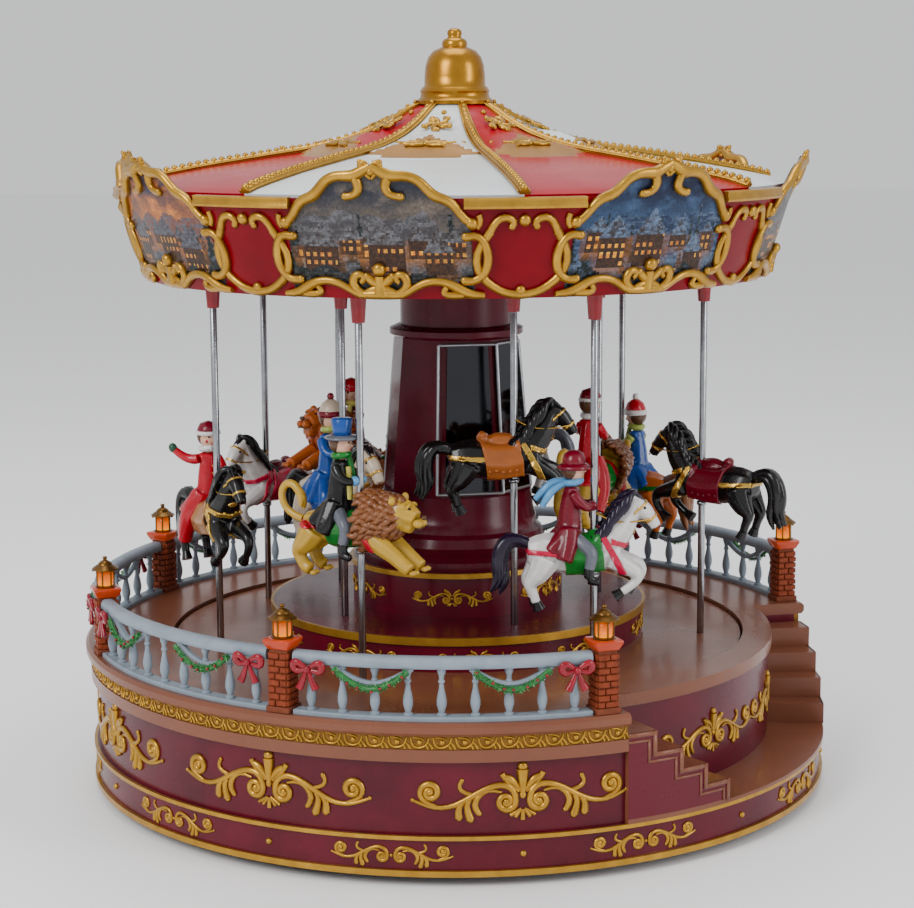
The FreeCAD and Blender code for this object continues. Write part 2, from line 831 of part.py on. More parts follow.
def make_rotor_scrolls():
    middle = (turntable_top + platform_top - platform_rim_height) / 2
    side = scroll(platform_radius + 0.02, middle, 8.6, 19.0)
    pieces = [turned_to(side, 45.0 * k + 10.0) for k in range(8)]
    tower_middle = (platform_top + tower_drum_top) / 2
    face = scroll(tower_drum_radius + 0.02, tower_middle, 8.0, 19.0)
    pieces += [turned_to(face, 60.0 * k) for k in range(6)]
    return pieces


def make_tower_drum():
    wall = 2.5
    r = tower_drum_radius
    z = tower_base_bottom
    outside = [(r, platform_top), (r, z), (r - 4, z), (r - 4, z + 3.0), (r - 8.4, z + 4.6), (r - 7.2, z + 8.0),
               (r - 8.4, z + 11.5), (r - 10.6, z + 13.0), (r - 10.6, z + 16.0), (r - 11.6, z + 19.0),
               (column_bottom_radius + 0.8, column_bottom)]
    inside = [(column_bottom_radius - wall, column_bottom), (r - 14.5, z), (r - wall, z - 3.0),
              (r - wall, platform_top)]
    return [turned(outside + inside)]


def make_tower_ring():
    low = tower_drum_top
    return [tube(tower_drum_radius, tower_drum_radius + 1.4, low, low + tower_ring_height)]


def octagon(radius, height):
    corners = []
    for k in range(8):
        corners.append(spot(radius, small_panel_angle + 45.0 * (k + 0.5), height))
    return Part.makePolygon(corners + [corners[0]])


def make_tower_column():
    grow = 1.0 / math.cos(math.radians(22.5)) ** 0.5
    outer = Part.makeLoft([octagon(column_bottom_radius * grow, column_bottom),
                           octagon(column_top_radius * grow, column_top)], True, True)
    cornice = turned([(0, column_top), (column_top_radius + 0.6, column_top),
                      (column_top_radius + 2.6, column_top + 1.2), (column_top_radius + 2.6, cornice_top - 1.6),
                      (collar_radius + 0.8, cornice_top), (0, cornice_top)])
    collar = disc(collar_radius, cornice_top, canopy_bottom)
    inner = Part.makeLoft([octagon((column_bottom_radius - column_wall) * grow, column_bottom - 0.01),
                           octagon((column_top_radius - column_wall) * grow, column_top + 0.01)], True, True)
    core = disc(collar_radius - column_wall, column_top - 1, canopy_bottom + 1)
    body = joined([outer, cornice, collar])
    return [body.cut([inner, core])]


def make_tower_mirrors():
    """Framed mirror glass on two pairs of flats; each leans with the column."""
    flat = math.cos(math.radians(22.5)) ** 0.5
    lean = math.degrees(math.atan((column_bottom_radius - column_top_radius) * flat / column_height))
    middle_height = (column_bottom + column_top) / 2
    share = (middle_height - column_bottom) / column_height
    radius = (column_bottom_radius + (column_top_radius - column_bottom_radius) * share) * flat
    tall = column_height - 2 * mirror_margin
    low_half = column_bottom_radius * flat * math.tan(math.radians(22.5)) - 1.6
    high_half = column_top_radius * flat * math.tan(math.radians(22.5)) - 1.6
    y = -radius - 0.05
    corners = [V(-low_half, y, middle_height - tall / 2), V(low_half, y, middle_height - tall / 2),
               V(high_half, y, middle_height + tall / 2), V(-high_half, y, middle_height + tall / 2)]
    face = Part.Face(Part.makePolygon(corners + [corners[0]]))
    glass = face.extrude(V(0, -mirror_thickness, 0))
    glass.rotate(V(0, y, middle_height), V(1, 0, 0), -lean)
    return [turned_to(glass, small_panel_angle + 45.0 * k) for k in mirror_faces]


# ---- canopy ----
def band_radius(height):
    return canopy_bottom_radius + canopy_flare * (height - canopy_bottom)


def make_canopy_band():
    low = canopy_bottom
    high = canopy_top
    inner_low = band_radius(low) - canopy_wall
    inner_high = band_radius(high) - canopy_wall
    return [turned([(inner_low, low), (band_radius(low), low), (band_radius(high), high), (inner_high, high)])]


def make_ceiling():
    low = canopy_bottom
    plate = disc(band_radius(low) - canopy_wall, low, low + ceiling_thickness)
    return [plate.cut(pole_holes(pole_places, low - 1, low + ceiling_thickness + 1))]


def band_sheet(low, high, proud, thick, start, sweep):
    a = band_radius(low) + proud
    b = band_radius(high) + proud
    return turned([(a, low), (a + thick, low), (b + thick, high), (b, high)], start, sweep)


def make_picture_panels():
    sweep = large_panel_width - 4.4
    panel = band_sheet(canopy_bottom + 3.0, canopy_top - 0.5, 0.0, 0.6, -sweep / 2, sweep)
    return [turned_to(panel, large_panel_angle + segment_angle * k) for k in range(canopy_sides)]


def panel_frame(width, low, high):
    side = math.degrees(frame_width / canopy_bottom_radius)
    outer = band_sheet(low, high, 0.6, frame_thickness, -width / 2, width)
    window = band_sheet(low + frame_width, high - frame_width, -1.0, frame_thickness + 6, -width / 2 + side,
                        width - 2 * side)
    return outer.cut(window)


def make_canopy_frames():
    frames = []
    large = panel_frame(large_panel_width, canopy_bottom - 1.0, canopy_top)
    crest = band_sheet(canopy_top - 1.0, canopy_top + crest_height * 0.5, 0.6, frame_thickness, -12.0, 24.0)
    peak_bottom = canopy_top + crest_height * 0.4
    peak = band_sheet(peak_bottom, canopy_top + crest_height, 0.6, frame_thickness, -6.0, 12.0)
    large = joined([large, crest, peak])
    gap = 0.3
    small = panel_frame(small_panel_width - gap, canopy_bottom - 0.5, canopy_top)
    for k in range(canopy_sides):
        frames.append(turned_to(large, large_panel_angle + segment_angle * k))
        frames.append(turned_to(small, small_panel_angle + segment_angle * k))
    return frames


def roof_profile():
    """Outer line of the concave roof as (radius, height), from the canopy edge up to the finial."""
    edge = canopy_top_radius - 1.0
    shares = [(1.0, 0.0), (0.885, 0.13), (0.75, 0.22), (0.55, 0.38)]
    shares += [(0.395, 0.53), (0.28, 0.70), (0.17, 0.89)]
    points = [(edge * s, canopy_top + roof_height * h) for s, h in shares]
    return points + [(finial_base_radius - 1.0, roof_top)]


def make_roof():
    outside = roof_profile()
    inside = [(r, z - roof_wall) for r, z in reversed(outside)]
    first = outside[0]
    inside[-1] = (first[0] - 5.0, first[1])
    return [turned(outside + inside)]


def make_roof_ribs():
    rib_radius = 1.3
    points = roof_profile()
    ribs = []
    for k in range(canopy_sides):
        angle = small_panel_angle + segment_angle * k
        pieces = []
        for (ra, za), (rb, zb) in zip(points[:-1], points[1:]):
            a = spot(ra, angle, za + 1.1)
            b = spot(rb, angle, zb + 1.1)
            pieces.append(rod(rib_radius, a, b))
            pieces.append(ball(rib_radius, b))
        ribs.append(joined(pieces))
    return ribs


def make_finial():
    z = roof_top
    r = finial_base_radius
    points = [(0, z), (r, z), (r, z + 2.0), (r - 1.6, z + 3.2), (r - 1.6, z + 5.0), (r - 3.0, z + 6.2),
              (r - 2.8, z + 9.0), (r - 3.3, z + 14.0), (r - 4.6, z + 17.6), (r - 7.0, z + 20.4),
              (r - 10.2, z + 22.0), (r - 11.6, z + 22.6), (r - 10.6, z + 24.6), (r - 11.4, z + 26.8),
              (r - 13.2, z + 28.4), (0, z + finial_height)]
    return [turned(points)]


def make_pole_sleeves():
    sleeves = []
    for r, a in pole_places:
        low = canopy_bottom - sleeve_length
        body = taper(sleeve_radius - 0.8, sleeve_radius, spot(r, a, low), spot(r, a, canopy_bottom))
        sleeves.append(body.cut(disc_at(r, a, pole_radius + pole_clearance, low - 1, canopy_bottom + 1)))
    return sleeves


# ---- figures: head towards +X, pole at the origin, height 0 at the middle of the trunk ----


def faceted(rings, axis):
    """Flat-sided solid through parallel rings, each a centre and a radius."""
    axis = V(axis).normalize()
    across = axis.cross(V(0.31, 0.93, 0.17)).normalize()
    beside = axis.cross(across)
    loops = []
    for centre, radius in rings:
        turns = [2 * math.pi * k / facets for k in range(facets)]
        ends = [(radius * math.cos(t), radius * math.sin(t)) for t in turns]
        loops.append([centre + across * u + beside * v for u, v in ends])
    faces = [Part.Face(Part.makePolygon(loop + [loop[0]])) for loop in (loops[0], loops[-1])]
    for low, high in zip(loops[:-1], loops[1:]):
        for k in range(facets):
            n = (k + 1) % facets
            faces.append(Part.Face(Part.makePolygon([low[k], low[n], high[n], high[k], low[k]])))
    solid = Part.Solid(Part.Shell(faces))
    if solid.Volume < 0:
        solid.reverse()
    return solid


def segment(radius_a, radius_b, start, end):
    return faceted([(start, radius_a), (end, radius_b)], end - start)


def knob(radius, centre, axis=UP):
    step = V(axis).normalize() * radius
    rings = [(centre - step * 0.92, radius * 0.39), (centre - step * 0.38, radius * 0.92),
             (centre + step * 0.38, radius * 0.92), (centre + step * 0.92, radius * 0.39)]
    return faceted(rings, axis)


def limb(points, radii):
    pieces = []
    for a, b, ra, rb in zip(points[:-1], points[1:], radii[:-1], radii[1:]):
        pieces.append(segment(ra, rb, V(*a), V(*b)))
        pieces.append(knob(rb * 1.07, V(*b), V(*b) - V(*a)))
    return pieces


def trunk(back, front, radius):
    rings = [(V(back - radius * 0.85, 0, 0), radius * 0.55), (V(back - radius * 0.2, 0, 0), radius * 0.97),
             (V(front, 0, 0), radius), (V(front + radius * 0.8, 0, 0), radius * 0.6)]
    return [faceted(rings, V(1, 0, 0))]


def horse_body():
    half = figure_width / 2
    pieces = trunk(-20.0, 5.0, 7.2)
    pieces += limb([(6, 0, 3), (12, 0, 14), (16, 0, 18)], [5.5, 4.2, 3.8])
    pieces += limb([(16, 0, 18), (23, 0, 9)], [3.6, 2.6])
    for side in (-1, 1):
        y = side * (half - 2.6)
        pieces += limb([(6, y, -3), (15, y, -7), (11, y, -15), (8, y, -19)], [2.6, 2.3, 1.8, 2.0])
        pieces += limb([(-21, y, -2), (-25, y, -11), (-21, y, -18), (-20, y, -21)], [3.4, 2.6, 1.8, 2.0])
    pieces += limb([(-25, 0, 3), (-33, 0, 3.3), (-35, 0, -6), (-32, 0, -13)], [2.6, 2.8, 2.6, 2.2])
    return pieces


def lion_body():
    half = figure_width / 2
    pieces = trunk(-19.0, 4.0, 6.8)
    pieces += [knob(9.5, V(11, 0, 6), V(1, 0, 0.2)), knob(5.5, V(19, 0, 6.3), V(1, 0, 0))]
    pieces.append(knob(3.0, V(23.5, 0, 4), V(1, 0, 0)))
    for side in (-1, 1):
        y = side * (half - 2.6)
        pieces += limb([(8, y, -3), (17, y, -8), (22, y, -14)], [3.0, 2.6, 2.8])
        pieces += limb([(-19, y, -2), (-24, y, -9), (-22, y, -17), (-19, y, -20)], [3.6, 2.8, 2.2, 2.6])
    pieces += limb([(-24, 0, 2), (-33, 0, 8), (-37, 0, 16)], [1.6, 1.6, 2.8])
    return pieces


def rider_body():
    pieces = [segment(5.6, 3.6, V(-10, 0, 4.5), V(-9, 0, 30)), knob(4.9, V(-8, 0, 33.2))]
    pieces.append(segment(5.6, 3.2, V(-8, 0, 36.1), V(-8.6, 0, 42)))
    for side in (-1, 1):
        pieces += limb([(-8, side * 4.1, 23), (-4, side * 7.0, 16), (-1, side * 4.4, 18)], [2.0, 1.9, 1.7])
        pieces += limb([(-9, side * 3.5, 7), (-2, side * 7.4, 3), (-4, side * 7.9, -6)], [3.0, 2.7, 2.4])
    return pieces


def placed_figure(shape, ring, angle, height, turn):
    """Figures travel counter-clockwise seen from above; each may stand swung round its pole."""
    copy = shape.copy()
    copy.rotate(ORIGIN, UP, turn)
    copy.translate(V(0, -ring, height))
    copy.rotate(ORIGIN, UP, angle)
    return copy


def bored_figure(shapes):
    """One figure, with its rider where it has one, bored for its pole."""
    return joined(shapes).cut(rod(pole_radius, V(0, 0, -40.0), V(0, 0, 60.0)))


def make_figure(kind, ring, angle, height, lift, turn):
    foot = pole_foot_middle + lift
    top = canopy_bottom + ceiling_thickness + pole_travel + 3.0 + lift
    pole = rod(pole_radius, V(0, -ring, foot), V(0, -ring, top))
    pole.rotate(ORIGIN, UP, angle)
    return [pole, placed_figure(figure_shapes[kind], ring, angle, height, turn)]


save("base_cover", make_base_cover())
save("rubber_feet", make_feet())
save("cover_screws", make_screws())
save("plinth", make_plinth())
save("gold_bands", make_gold_bands())
save("upper_wall", make_upper_wall())
save("leaf_frieze", make_leaf_frieze())
save("deck_ring", make_deck_ring())
save("stairs", make_stairs())
save("base_scrolls", make_base_scrolls())
save("brick_posts", make_posts())
save("lantern_frames", make_lantern_frames())
save("lantern_lenses", make_lantern_lenses())
save("lantern_leds", make_leds())
save("led_wiring", make_led_wiring())
save("balustrades", make_balustrades())
save("garlands", make_garlands())
save("bows", make_bows())
save("cam_plate", make_cam_plate())
save("spindle_bush", make_spindle_bush())
save("movement_bedplate", make_bedplate())
save("music_comb", make_comb())
save("music_cylinder", make_cylinder())
save("governor", make_governor())
save("spring_barrel", make_spring_barrel())
save("spindle", make_spindle())
save("winding_key", make_winding_key())
save("battery_box", make_battery_box())
save("batteries", make_batteries())
save("battery_door", make_battery_door())
save("power_switch", make_switch())
save("turntable", make_turntable())
save("centre_platform", make_centre_platform())
save("platform_rim", make_platform_rim())
save("rotor_scrolls", make_rotor_scrolls())
save("tower_drum", make_tower_drum())
save("tower_ring", make_tower_ring())
save("tower_column", make_tower_column())
save("tower_mirrors", make_tower_mirrors())
save("ceiling", make_ceiling())
save("canopy_band", make_canopy_band())
save("picture_panels", make_picture_panels())
save("canopy_frames", make_canopy_frames())
save("roof", make_roof())
save("roof_ribs", make_roof_ribs())
save("finial", make_finial())
save("pole_sleeves", make_pole_sleeves())

figure_shapes = {
    "horse": bored_figure(horse_body()),
    "lion": bored_figure(lion_body()),
    "ridden_horse": bored_figure(horse_body() + rider_body()),
    "ridden_lion": bored_figure(lion_body() + rider_body()),
}
outer_figures = ["horse", "ridden_horse", "ridden_lion", "ridden_horse", "horse", "lion", "ridden_horse"]
inner_figures = ["horse", "ridden_horse", "ridden_lion", "horse", "ridden_lion"]
for k, kind in enumerate(outer_figures):
    place = (outer_ring_radius, outer_pole_angles[k], outer_heights[k])
    figure = make_figure(kind, *place, outer_lift[k], outer_turn[k])
    save("outer_%s_%d" % (kind, k + 1), figure)
for k, kind in enumerate(inner_figures):
    place = (inner_ring_radius, inner_pole_angles[k], inner_heights[k])
    figure = make_figure(kind, *place, inner_lift[k], inner_turn[k])
    save("inner_%s_%d" % (kind, k + 1), figure)
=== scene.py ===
import bpy
import bmesh
import math
import random
from mathutils import Matrix, Vector, noise


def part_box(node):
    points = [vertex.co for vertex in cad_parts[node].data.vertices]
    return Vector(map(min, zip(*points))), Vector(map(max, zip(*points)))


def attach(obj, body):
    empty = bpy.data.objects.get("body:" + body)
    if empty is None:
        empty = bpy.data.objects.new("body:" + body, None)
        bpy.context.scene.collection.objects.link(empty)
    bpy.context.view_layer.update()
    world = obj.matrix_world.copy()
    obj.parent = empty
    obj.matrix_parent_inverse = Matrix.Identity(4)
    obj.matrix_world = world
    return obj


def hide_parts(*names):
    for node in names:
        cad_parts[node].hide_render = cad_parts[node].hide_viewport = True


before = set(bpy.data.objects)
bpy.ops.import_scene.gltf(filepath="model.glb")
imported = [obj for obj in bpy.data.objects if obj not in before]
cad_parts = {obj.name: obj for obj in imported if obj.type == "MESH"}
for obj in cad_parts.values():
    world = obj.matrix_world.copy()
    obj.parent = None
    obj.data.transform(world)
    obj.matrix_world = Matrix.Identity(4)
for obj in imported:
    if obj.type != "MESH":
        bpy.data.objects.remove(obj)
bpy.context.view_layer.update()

mm = 0.001

# ---------------------------------------------------------------- stage
# A pale table top with soft lamps round it, and a camera at table height
# looking slightly down on the carousel.


def solid_material(name, colour, rough):
    """A plain node material for what is not part of the object."""
    material = bpy.data.materials.new(name)
    material.use_nodes = True
    shader = material.node_tree.nodes["Principled BSDF"]
    shader.inputs["Base Color"].default_value = (*colour, 1)
    shader.inputs["Roughness"].default_value = rough
    return material


table_mesh = bpy.data.meshes.new("table_top")
table_shape = bmesh.new()
bmesh.ops.create_grid(table_shape, x_segments=1, y_segments=1, size=6.0)
table_shape.to_mesh(table_mesh)
table_shape.free()
table_top = bpy.data.objects.new("table_top", table_mesh)
table_mesh.materials.append(solid_material("table_white", (0.93, 0.93, 0.93), 0.6))
bpy.context.scene.collection.objects.link(table_top)

world = bpy.data.worlds.new("studio")
world.use_nodes = True
world.node_tree.nodes["Background"].inputs["Color"].default_value = (0.97, 0.98, 1.0, 1)
world.node_tree.nodes["Background"].inputs["Strength"].default_value = 0.85
bpy.context.scene.world = world


def soft_lamp(name, place, target, size, power, colour=(1, 1, 1)):
    lamp = bpy.data.lights.new(name, "AREA")
    lamp.shape = "RECTANGLE"
    lamp.size, lamp.size_y = size
    lamp.energy = power
    lamp.color = colour
    holder = bpy.data.objects.new(name, lamp)
    holder.location = place
    holder.rotation_euler = (Vector(target) - Vector(place)).to_track_quat("-Z", "Y").to_euler()
    bpy.context.scene.collection.objects.link(holder)


soft_lamp("key_lamp", (-0.75, -0.9, 0.85), (0, 0, 0.12), (0.5, 0.7), 13.0)
soft_lamp("fill_lamp", (1.0, -0.6, 0.5), (0, 0, 0.14), (0.35, 0.8), 6.0)
soft_lamp("top_lamp", (0.0, 0.15, 1.2), (0, 0, 0.1), (0.7, 0.7), 7.0)

camera_data = bpy.data.cameras.new("camera")
camera_data.sensor_width = 36.0
camera_data.lens = 86.8
camera = bpy.data.objects.new("camera", camera_data)
camera.location = (0, -0.89265, 0.27355)
look_down = math.radians(9.07)
lean = math.radians(0.34)
camera.rotation_euler = (Matrix.Rotation(math.pi / 2 - look_down, 3, "X") @ Matrix.Rotation(-lean, 3,
            "Z")).to_euler()
bpy.context.scene.collection.objects.link(camera)
bpy.context.scene.camera = camera

# ---------------------------------------------------------------- base mouldings
# Plinth, upper wall, deck and stairs are injection-moulded shells stacked on a black cover,
# sprayed burgundy and brown.


def shader_node(material, kind, **values):
    """Add a shader node, its inputs set by name."""
    made = material.node_tree.nodes.new("ShaderNode" + kind)
    for name, value in values.items():
        made.inputs[name.replace("_", " ")].default_value = value
    return made


def joined(material, *pairs):
    """Link each pair of sockets."""
    for source, target in pairs:
        material.node_tree.links.new(source, target)


def colour_mix(material, first, second):
    """A colour mix node; a colour left as None is linked later."""
    made = material.node_tree.nodes.new("ShaderNodeMix")
    made.data_type = "RGBA"
    for socket, colour in ((6, first), (7, second)):
        if colour is not None:
            made.inputs[socket].default_value = (*colour, 1)
    return made


def shader_of(name, **values):
    """A new material and its shader, constants set on the shader."""
    material = bpy.data.materials.new(name)
    material.use_nodes = True
    shader = material.node_tree.nodes["Principled BSDF"]
    for socket, value in values.items():
        shader.inputs[socket.replace("_", " ")].default_value = value
    return material, shader


def painted(name, colour, shade, rough=0.3, metal=0.0, grain=60.0, bump=0.03, coat=0.0,
            hollow_shade=None, spread=0.5, sheen=0.22):
    """Sprayed paint: two close colours in soft clouds, painted shade darkening the hollows, fine orange peel.
    """
    material, shader = shader_of(name, Metallic=metal, Specular_IOR_Level=sheen, Coat_Weight=coat,
                                 Coat_Roughness=0.08)
    place = shader_node(material, "TexCoord").outputs["Object"]
    clouds = shader_node(material, "TexNoise", Scale=grain, Detail=5.0, Roughness=0.6)
    steps = shader_node(material, "MapRange", From_Min=0.5 - spread / 2, From_Max=0.5 + spread / 2)
    blend = colour_mix(material, colour, shade)
    joined(material, (place, clouds.inputs["Vector"]), (clouds.outputs["Fac"], steps.inputs["Value"]),
           (steps.outputs["Result"], blend.inputs[0]))
    last = blend.outputs[2]
    # Optional painted shade: hollows found from the mesh's pointiness are painted in a darker colour.
    if hollow_shade is not None:
        hollows = shader_node(material, "NewGeometry").outputs["Pointiness"]
        edge = shader_node(material, "MapRange", From_Min=0.42, From_Max=0.52)
        painted_hollow_shade = colour_mix(material, hollow_shade, None)
        joined(material, (hollows, edge.inputs["Value"]), (edge.outputs["Result"], painted_hollow_shade.inputs[0]),
               (last, painted_hollow_shade.inputs[7]))
        last = painted_hollow_shade.outputs[2]
    peel = shader_node(material, "TexNoise", Scale=1400.0)
    gloss = shader_node(material, "MapRange", To_Min=rough * 0.75, To_Max=rough * 1.3)
    relief = shader_node(material, "Bump", Strength=bump, Distance=0.0005)
    joined(material, (last, shader.inputs["Base Color"]), (place, peel.inputs["Vector"]),
           (clouds.outputs["Fac"], gloss.inputs["Value"]), (gloss.outputs["Result"],
                                                            shader.inputs["Roughness"]),
           (peel.outputs["Fac"], relief.inputs["Height"]), (relief.outputs["Normal"], shader.inputs["Normal"]))
    return material


burgundy = painted("burgundy_paint", (0.112, 0.0020, 0.0125), (0.046, 0.0010, 0.0060), 0.26, grain=35,
                   coat=0.06)
brown = painted("brown_paint", (0.190, 0.066, 0.034), (0.135, 0.043, 0.022), 0.28, grain=22, coat=0.12)
# The gold gets painted shade: a dark brown painted into its hollows and grooves.
gold = painted("antique_gold", (0.56, 0.31, 0.034), (0.27, 0.125, 0.012), 0.30, metal=0.78, grain=160,
               bump=0.08, hollow_shade=(0.075, 0.028, 0.006), spread=0.8, sheen=0.5)
flight_paint = painted("stair_paint", (0.190, 0.066, 0.034), (0.135, 0.043, 0.022), 0.28, grain=22, coat=0.12)


def outer_face_red(material, colour, wall_reach=0.1504, tread_foot=0.02065):
    """The flights are masked off and sprayed burgundy on the faces that stand in the round wall."""
    shader = material.node_tree.nodes["Principled BSDF"]
    brown_link = shader.inputs["Base Color"].links[0].from_socket
    place = shader_node(material, "TexCoord").outputs["Object"]
    flat = shader_node(material, "VectorMath")
    flat.operation = "MULTIPLY"
    flat.inputs[1].default_value = (1, 1, 0)
    reach = shader_node(material, "VectorMath")
    reach.operation = "LENGTH"
    wall = shader_node(material, "MapRange", From_Min=wall_reach - 0.00005, From_Max=wall_reach + 0.00005)
    level = shader_node(material, "SeparateXYZ")
    above = shader_node(material, "MapRange", From_Min=tread_foot - 0.00005, From_Max=tread_foot + 0.00005)
    both = shader_node(material, "Math")
    both.operation = "MULTIPLY"
    mix = colour_mix(material, None, colour)
    joined(material, (place, flat.inputs[0]), (flat.outputs["Vector"], reach.inputs[0]),
           (reach.outputs["Value"], wall.inputs["Value"]),
           (place, level.inputs["Vector"]), (level.outputs["Z"], above.inputs["Value"]),
           (wall.outputs["Result"], both.inputs[0]),
           (above.outputs["Result"], both.inputs[1]), (both.outputs["Value"], mix.inputs[0]),
           (brown_link, mix.inputs[6]),
           (mix.outputs[2], shader.inputs["Base Color"]))


outer_face_red(flight_paint, (0.095, 0.0018, 0.0100))
black_plastic = painted("black_plastic", (0.018, 0.018, 0.018), (0.010, 0.010, 0.010), 0.5)
rubber = painted("foot_rubber", (0.014, 0.014, 0.014), (0.008, 0.008, 0.008), 0.75, bump=0.2)
steel = painted("drawn_steel", (0.62, 0.63, 0.65), (0.50, 0.51, 0.53), 0.24, metal=1.0, grain=300)
brass = painted("turned_brass", (0.75, 0.53, 0.22), (0.62, 0.42, 0.16), 0.28, metal=1.0, grain=200)
zinc = painted("cast_zinc", (0.42, 0.42, 0.43), (0.34, 0.34, 0.35), 0.5, metal=0.8, grain=250, bump=0.3)
grey_plastic = painted("grey_plastic", (0.30, 0.30, 0.29), (0.25, 0.25, 0.24), 0.5)


def creased(piece, degrees):
    """Keep edges sharper than this looking sharp under smooth shading."""
    split = piece.modifiers.new("crease", "EDGE_SPLIT")
    split.split_angle = math.radians(degrees)


def finish_node(node, material):
    """A CAD piece whose shape is right keeps it, and gets its paint and smooth shading."""
    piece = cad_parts[node]
    piece.data.materials.clear()
    piece.data.materials.append(material)
    for face in piece.data.polygons:
        face.use_smooth = True
    weld = piece.modifiers.new("weld", "WELD")
    weld.merge_threshold = 0.000002
    creased(piece, 32)


for node, material in (("base_cover", black_plastic), ("rubber_feet", rubber), ("cover_screws", steel),
                       ("plinth", burgundy), ("gold_bands", gold), ("upper_wall", burgundy),
                       ("deck_ring", brown), ("stairs", flight_paint), ("cam_plate", grey_plastic),
                       ("spindle_bush", brass), ("movement_bedplate", zinc), ("music_comb", steel),
                       ("music_cylinder", brass), ("governor", brass), ("spring_barrel", brass),
                       ("spindle", steel), ("winding_key", steel), ("battery_box", black_plastic),
                       ("batteries", zinc), ("battery_door", black_plastic), ("power_switch", black_plastic),
                       ("turntable", brown), ("centre_platform", burgundy), ("platform_rim", gold),
                       ("tower_drum", burgundy), ("tower_ring", gold), ("tower_column", burgundy),
                       ("ceiling", burgundy), ("lantern_leds", brass), ("led_wiring", rubber)):
    finish_node(node, material)

# ---------------------------------------------------------------- cast scrolls
# Flat-backed castings glued round the plinth, wall, drum and platform: a palmette between paired volutes,
# drop leaves under the stems, antique gold with painted shade darkening the grooves.

wall_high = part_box("upper_wall")[1]
plinth_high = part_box("plinth")[1]
wall_radius = wall_high[1] / mm
plinth_radius = plinth_high[1] / mm


def smooth(piece):
    for face in piece.data.polygons:
        face.use_smooth = True


def piece_from(shape, name, materials, body, replaced=()):
    """Turn a shape in metres into a named piece that rides on a body."""
    mesh = baked(shape, name)
    piece = bpy.data.objects.new(name, mesh)
    for material in materials:
        mesh.materials.append(material)
    bpy.context.scene.collection.objects.link(piece)
    smooth(piece)
    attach(piece, body)
    if replaced:
        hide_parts(*replaced)
    return piece


def baked(shape, name):
    """A shape as a mesh; the shape is used up."""
    mesh = bpy.data.meshes.new(name)
    shape.to_mesh(mesh)
    shape.free()
    return mesh


def stroked(strokes, sides=1, steps=2):
    """Round tapering strokes: each a list of points and a list of radii, in mm."""
    curve = bpy.data.curves.new("stroke", "CURVE")
    curve.dimensions = "3D"
    curve.bevel_depth = 1.0
    curve.bevel_resolution = sides
    curve.use_fill_caps = True
    curve.resolution_u = steps
    for points, radii in strokes:
        line = curve.splines.new("NURBS")
        line.points.add(len(points) - 1)
        for knot, place, radius in zip(line.points, points, radii):
            flat = (place[0], 0.0, place[1]) if len(place) == 2 else place
            knot.co = (*flat, 1.0)
            knot.radius = radius
        line.order_u = min(3, len(points))
        line.use_endpoint_u = True
    holder = bpy.data.objects.new("stroke", curve)
    mesh = bpy.data.meshes.new_from_object(holder)
    bpy.data.objects.remove(holder)
    bpy.data.curves.remove(curve)
    return mesh


def indexed(shape, first_face, index):
    """Give the faces added since first_face a material index."""
    shape.faces.ensure_lookup_table()
    for face in shape.faces[first_face:]:
        face.material_index = index


def add_mesh(shape, mesh, place=None, index=None):
    """Put a mesh into a shape, moved by a function of its points; the mesh is used up."""
    first = len(shape.verts)
    first_face = len(shape.faces)
    shape.from_mesh(mesh)
    shape.verts.ensure_lookup_table()
    for vertex in shape.verts[first:] if place else ():
        vertex.co = place(vertex.co)
    if index is not None:
        indexed(shape, first_face, index)


def volute(x, z, radius, turns, start, way, grow=0.22):
    """Points of a spiral from its outer end inwards; start is the outer end's direction in degrees."""
    points = []
    count = int(turns * 8)
    for k in range(count + 1):
        share = k / count
        reach = radius * (1 - (1 - grow) * share)
        turn = math.radians(start + way * 360 * turns * share)
        points.append((x + reach * math.cos(turn), z + reach * math.sin(turn)))
    return points


def mirrored(strokes):
    return strokes + [([(-p[0], *p[1:]) for p in points], radii) for points, radii in strokes]


def taper(count, *values):
    """Radii eased through a few values over a number of points."""
    radii = []
    for k in range(count):
        place = k / (count - 1) * (len(values) - 1)
        low = min(int(place), len(values) - 2)
        radii.append(values[low] + (values[low + 1] - values[low]) * (place - low))
    return radii


def scroll_half():
    """The right half of the big scroll, in mm from its middle."""
    inner = volute(5.9, -2.3, 3.7, 1.5, 190, 1)
    stem = [(38.8, -1.6), (35.5, -3.0), (31, -4.3), (26, -4.0), (22, -2.4), (18, -0.1), (14, 2.2), (9.6, 3.9),
            (5.6, 3.7), (2.9, 1.4)]
    outer = volute(32.7, 1.4, 4.3, 1.6, -62, 1)
    strokes = [(stem + inner, taper(len(stem) + len(inner), 0.5, 0.95, 1.0, 1.05, 0.95, 0.8, 0.5)),
               ([(29, -4.4)] + outer, taper(len(outer) + 1, 0.6, 1.1, 0.9, 0.5)),
               ([(7.5, 1.2), (11, 2.3), (14.4, 1.3), (16.6, -1.2), (17.2, -4.2), (15.6, -6.3)],
                [0.4, 0.6, 0.8, 1.0, 1.1, 0.9]),
               ([(17, 0.6), (19.4, -1.6), (20.0, -4.6), (18.6, -8.4)], [0.4, 0.8, 1.1, 1.35]),
               ([(18.6, 0.2), (21.6, -2.4), (23.0, -5.0), (22.6, -7.8)], [0.4, 0.8, 1.1, 1.3]),
               ([(17.5, 0.4), (21.5, 1.4), (22.8, 3.8), (21.6, 5.6)], [0.7, 0.75, 0.6, 0.75])]
    return strokes


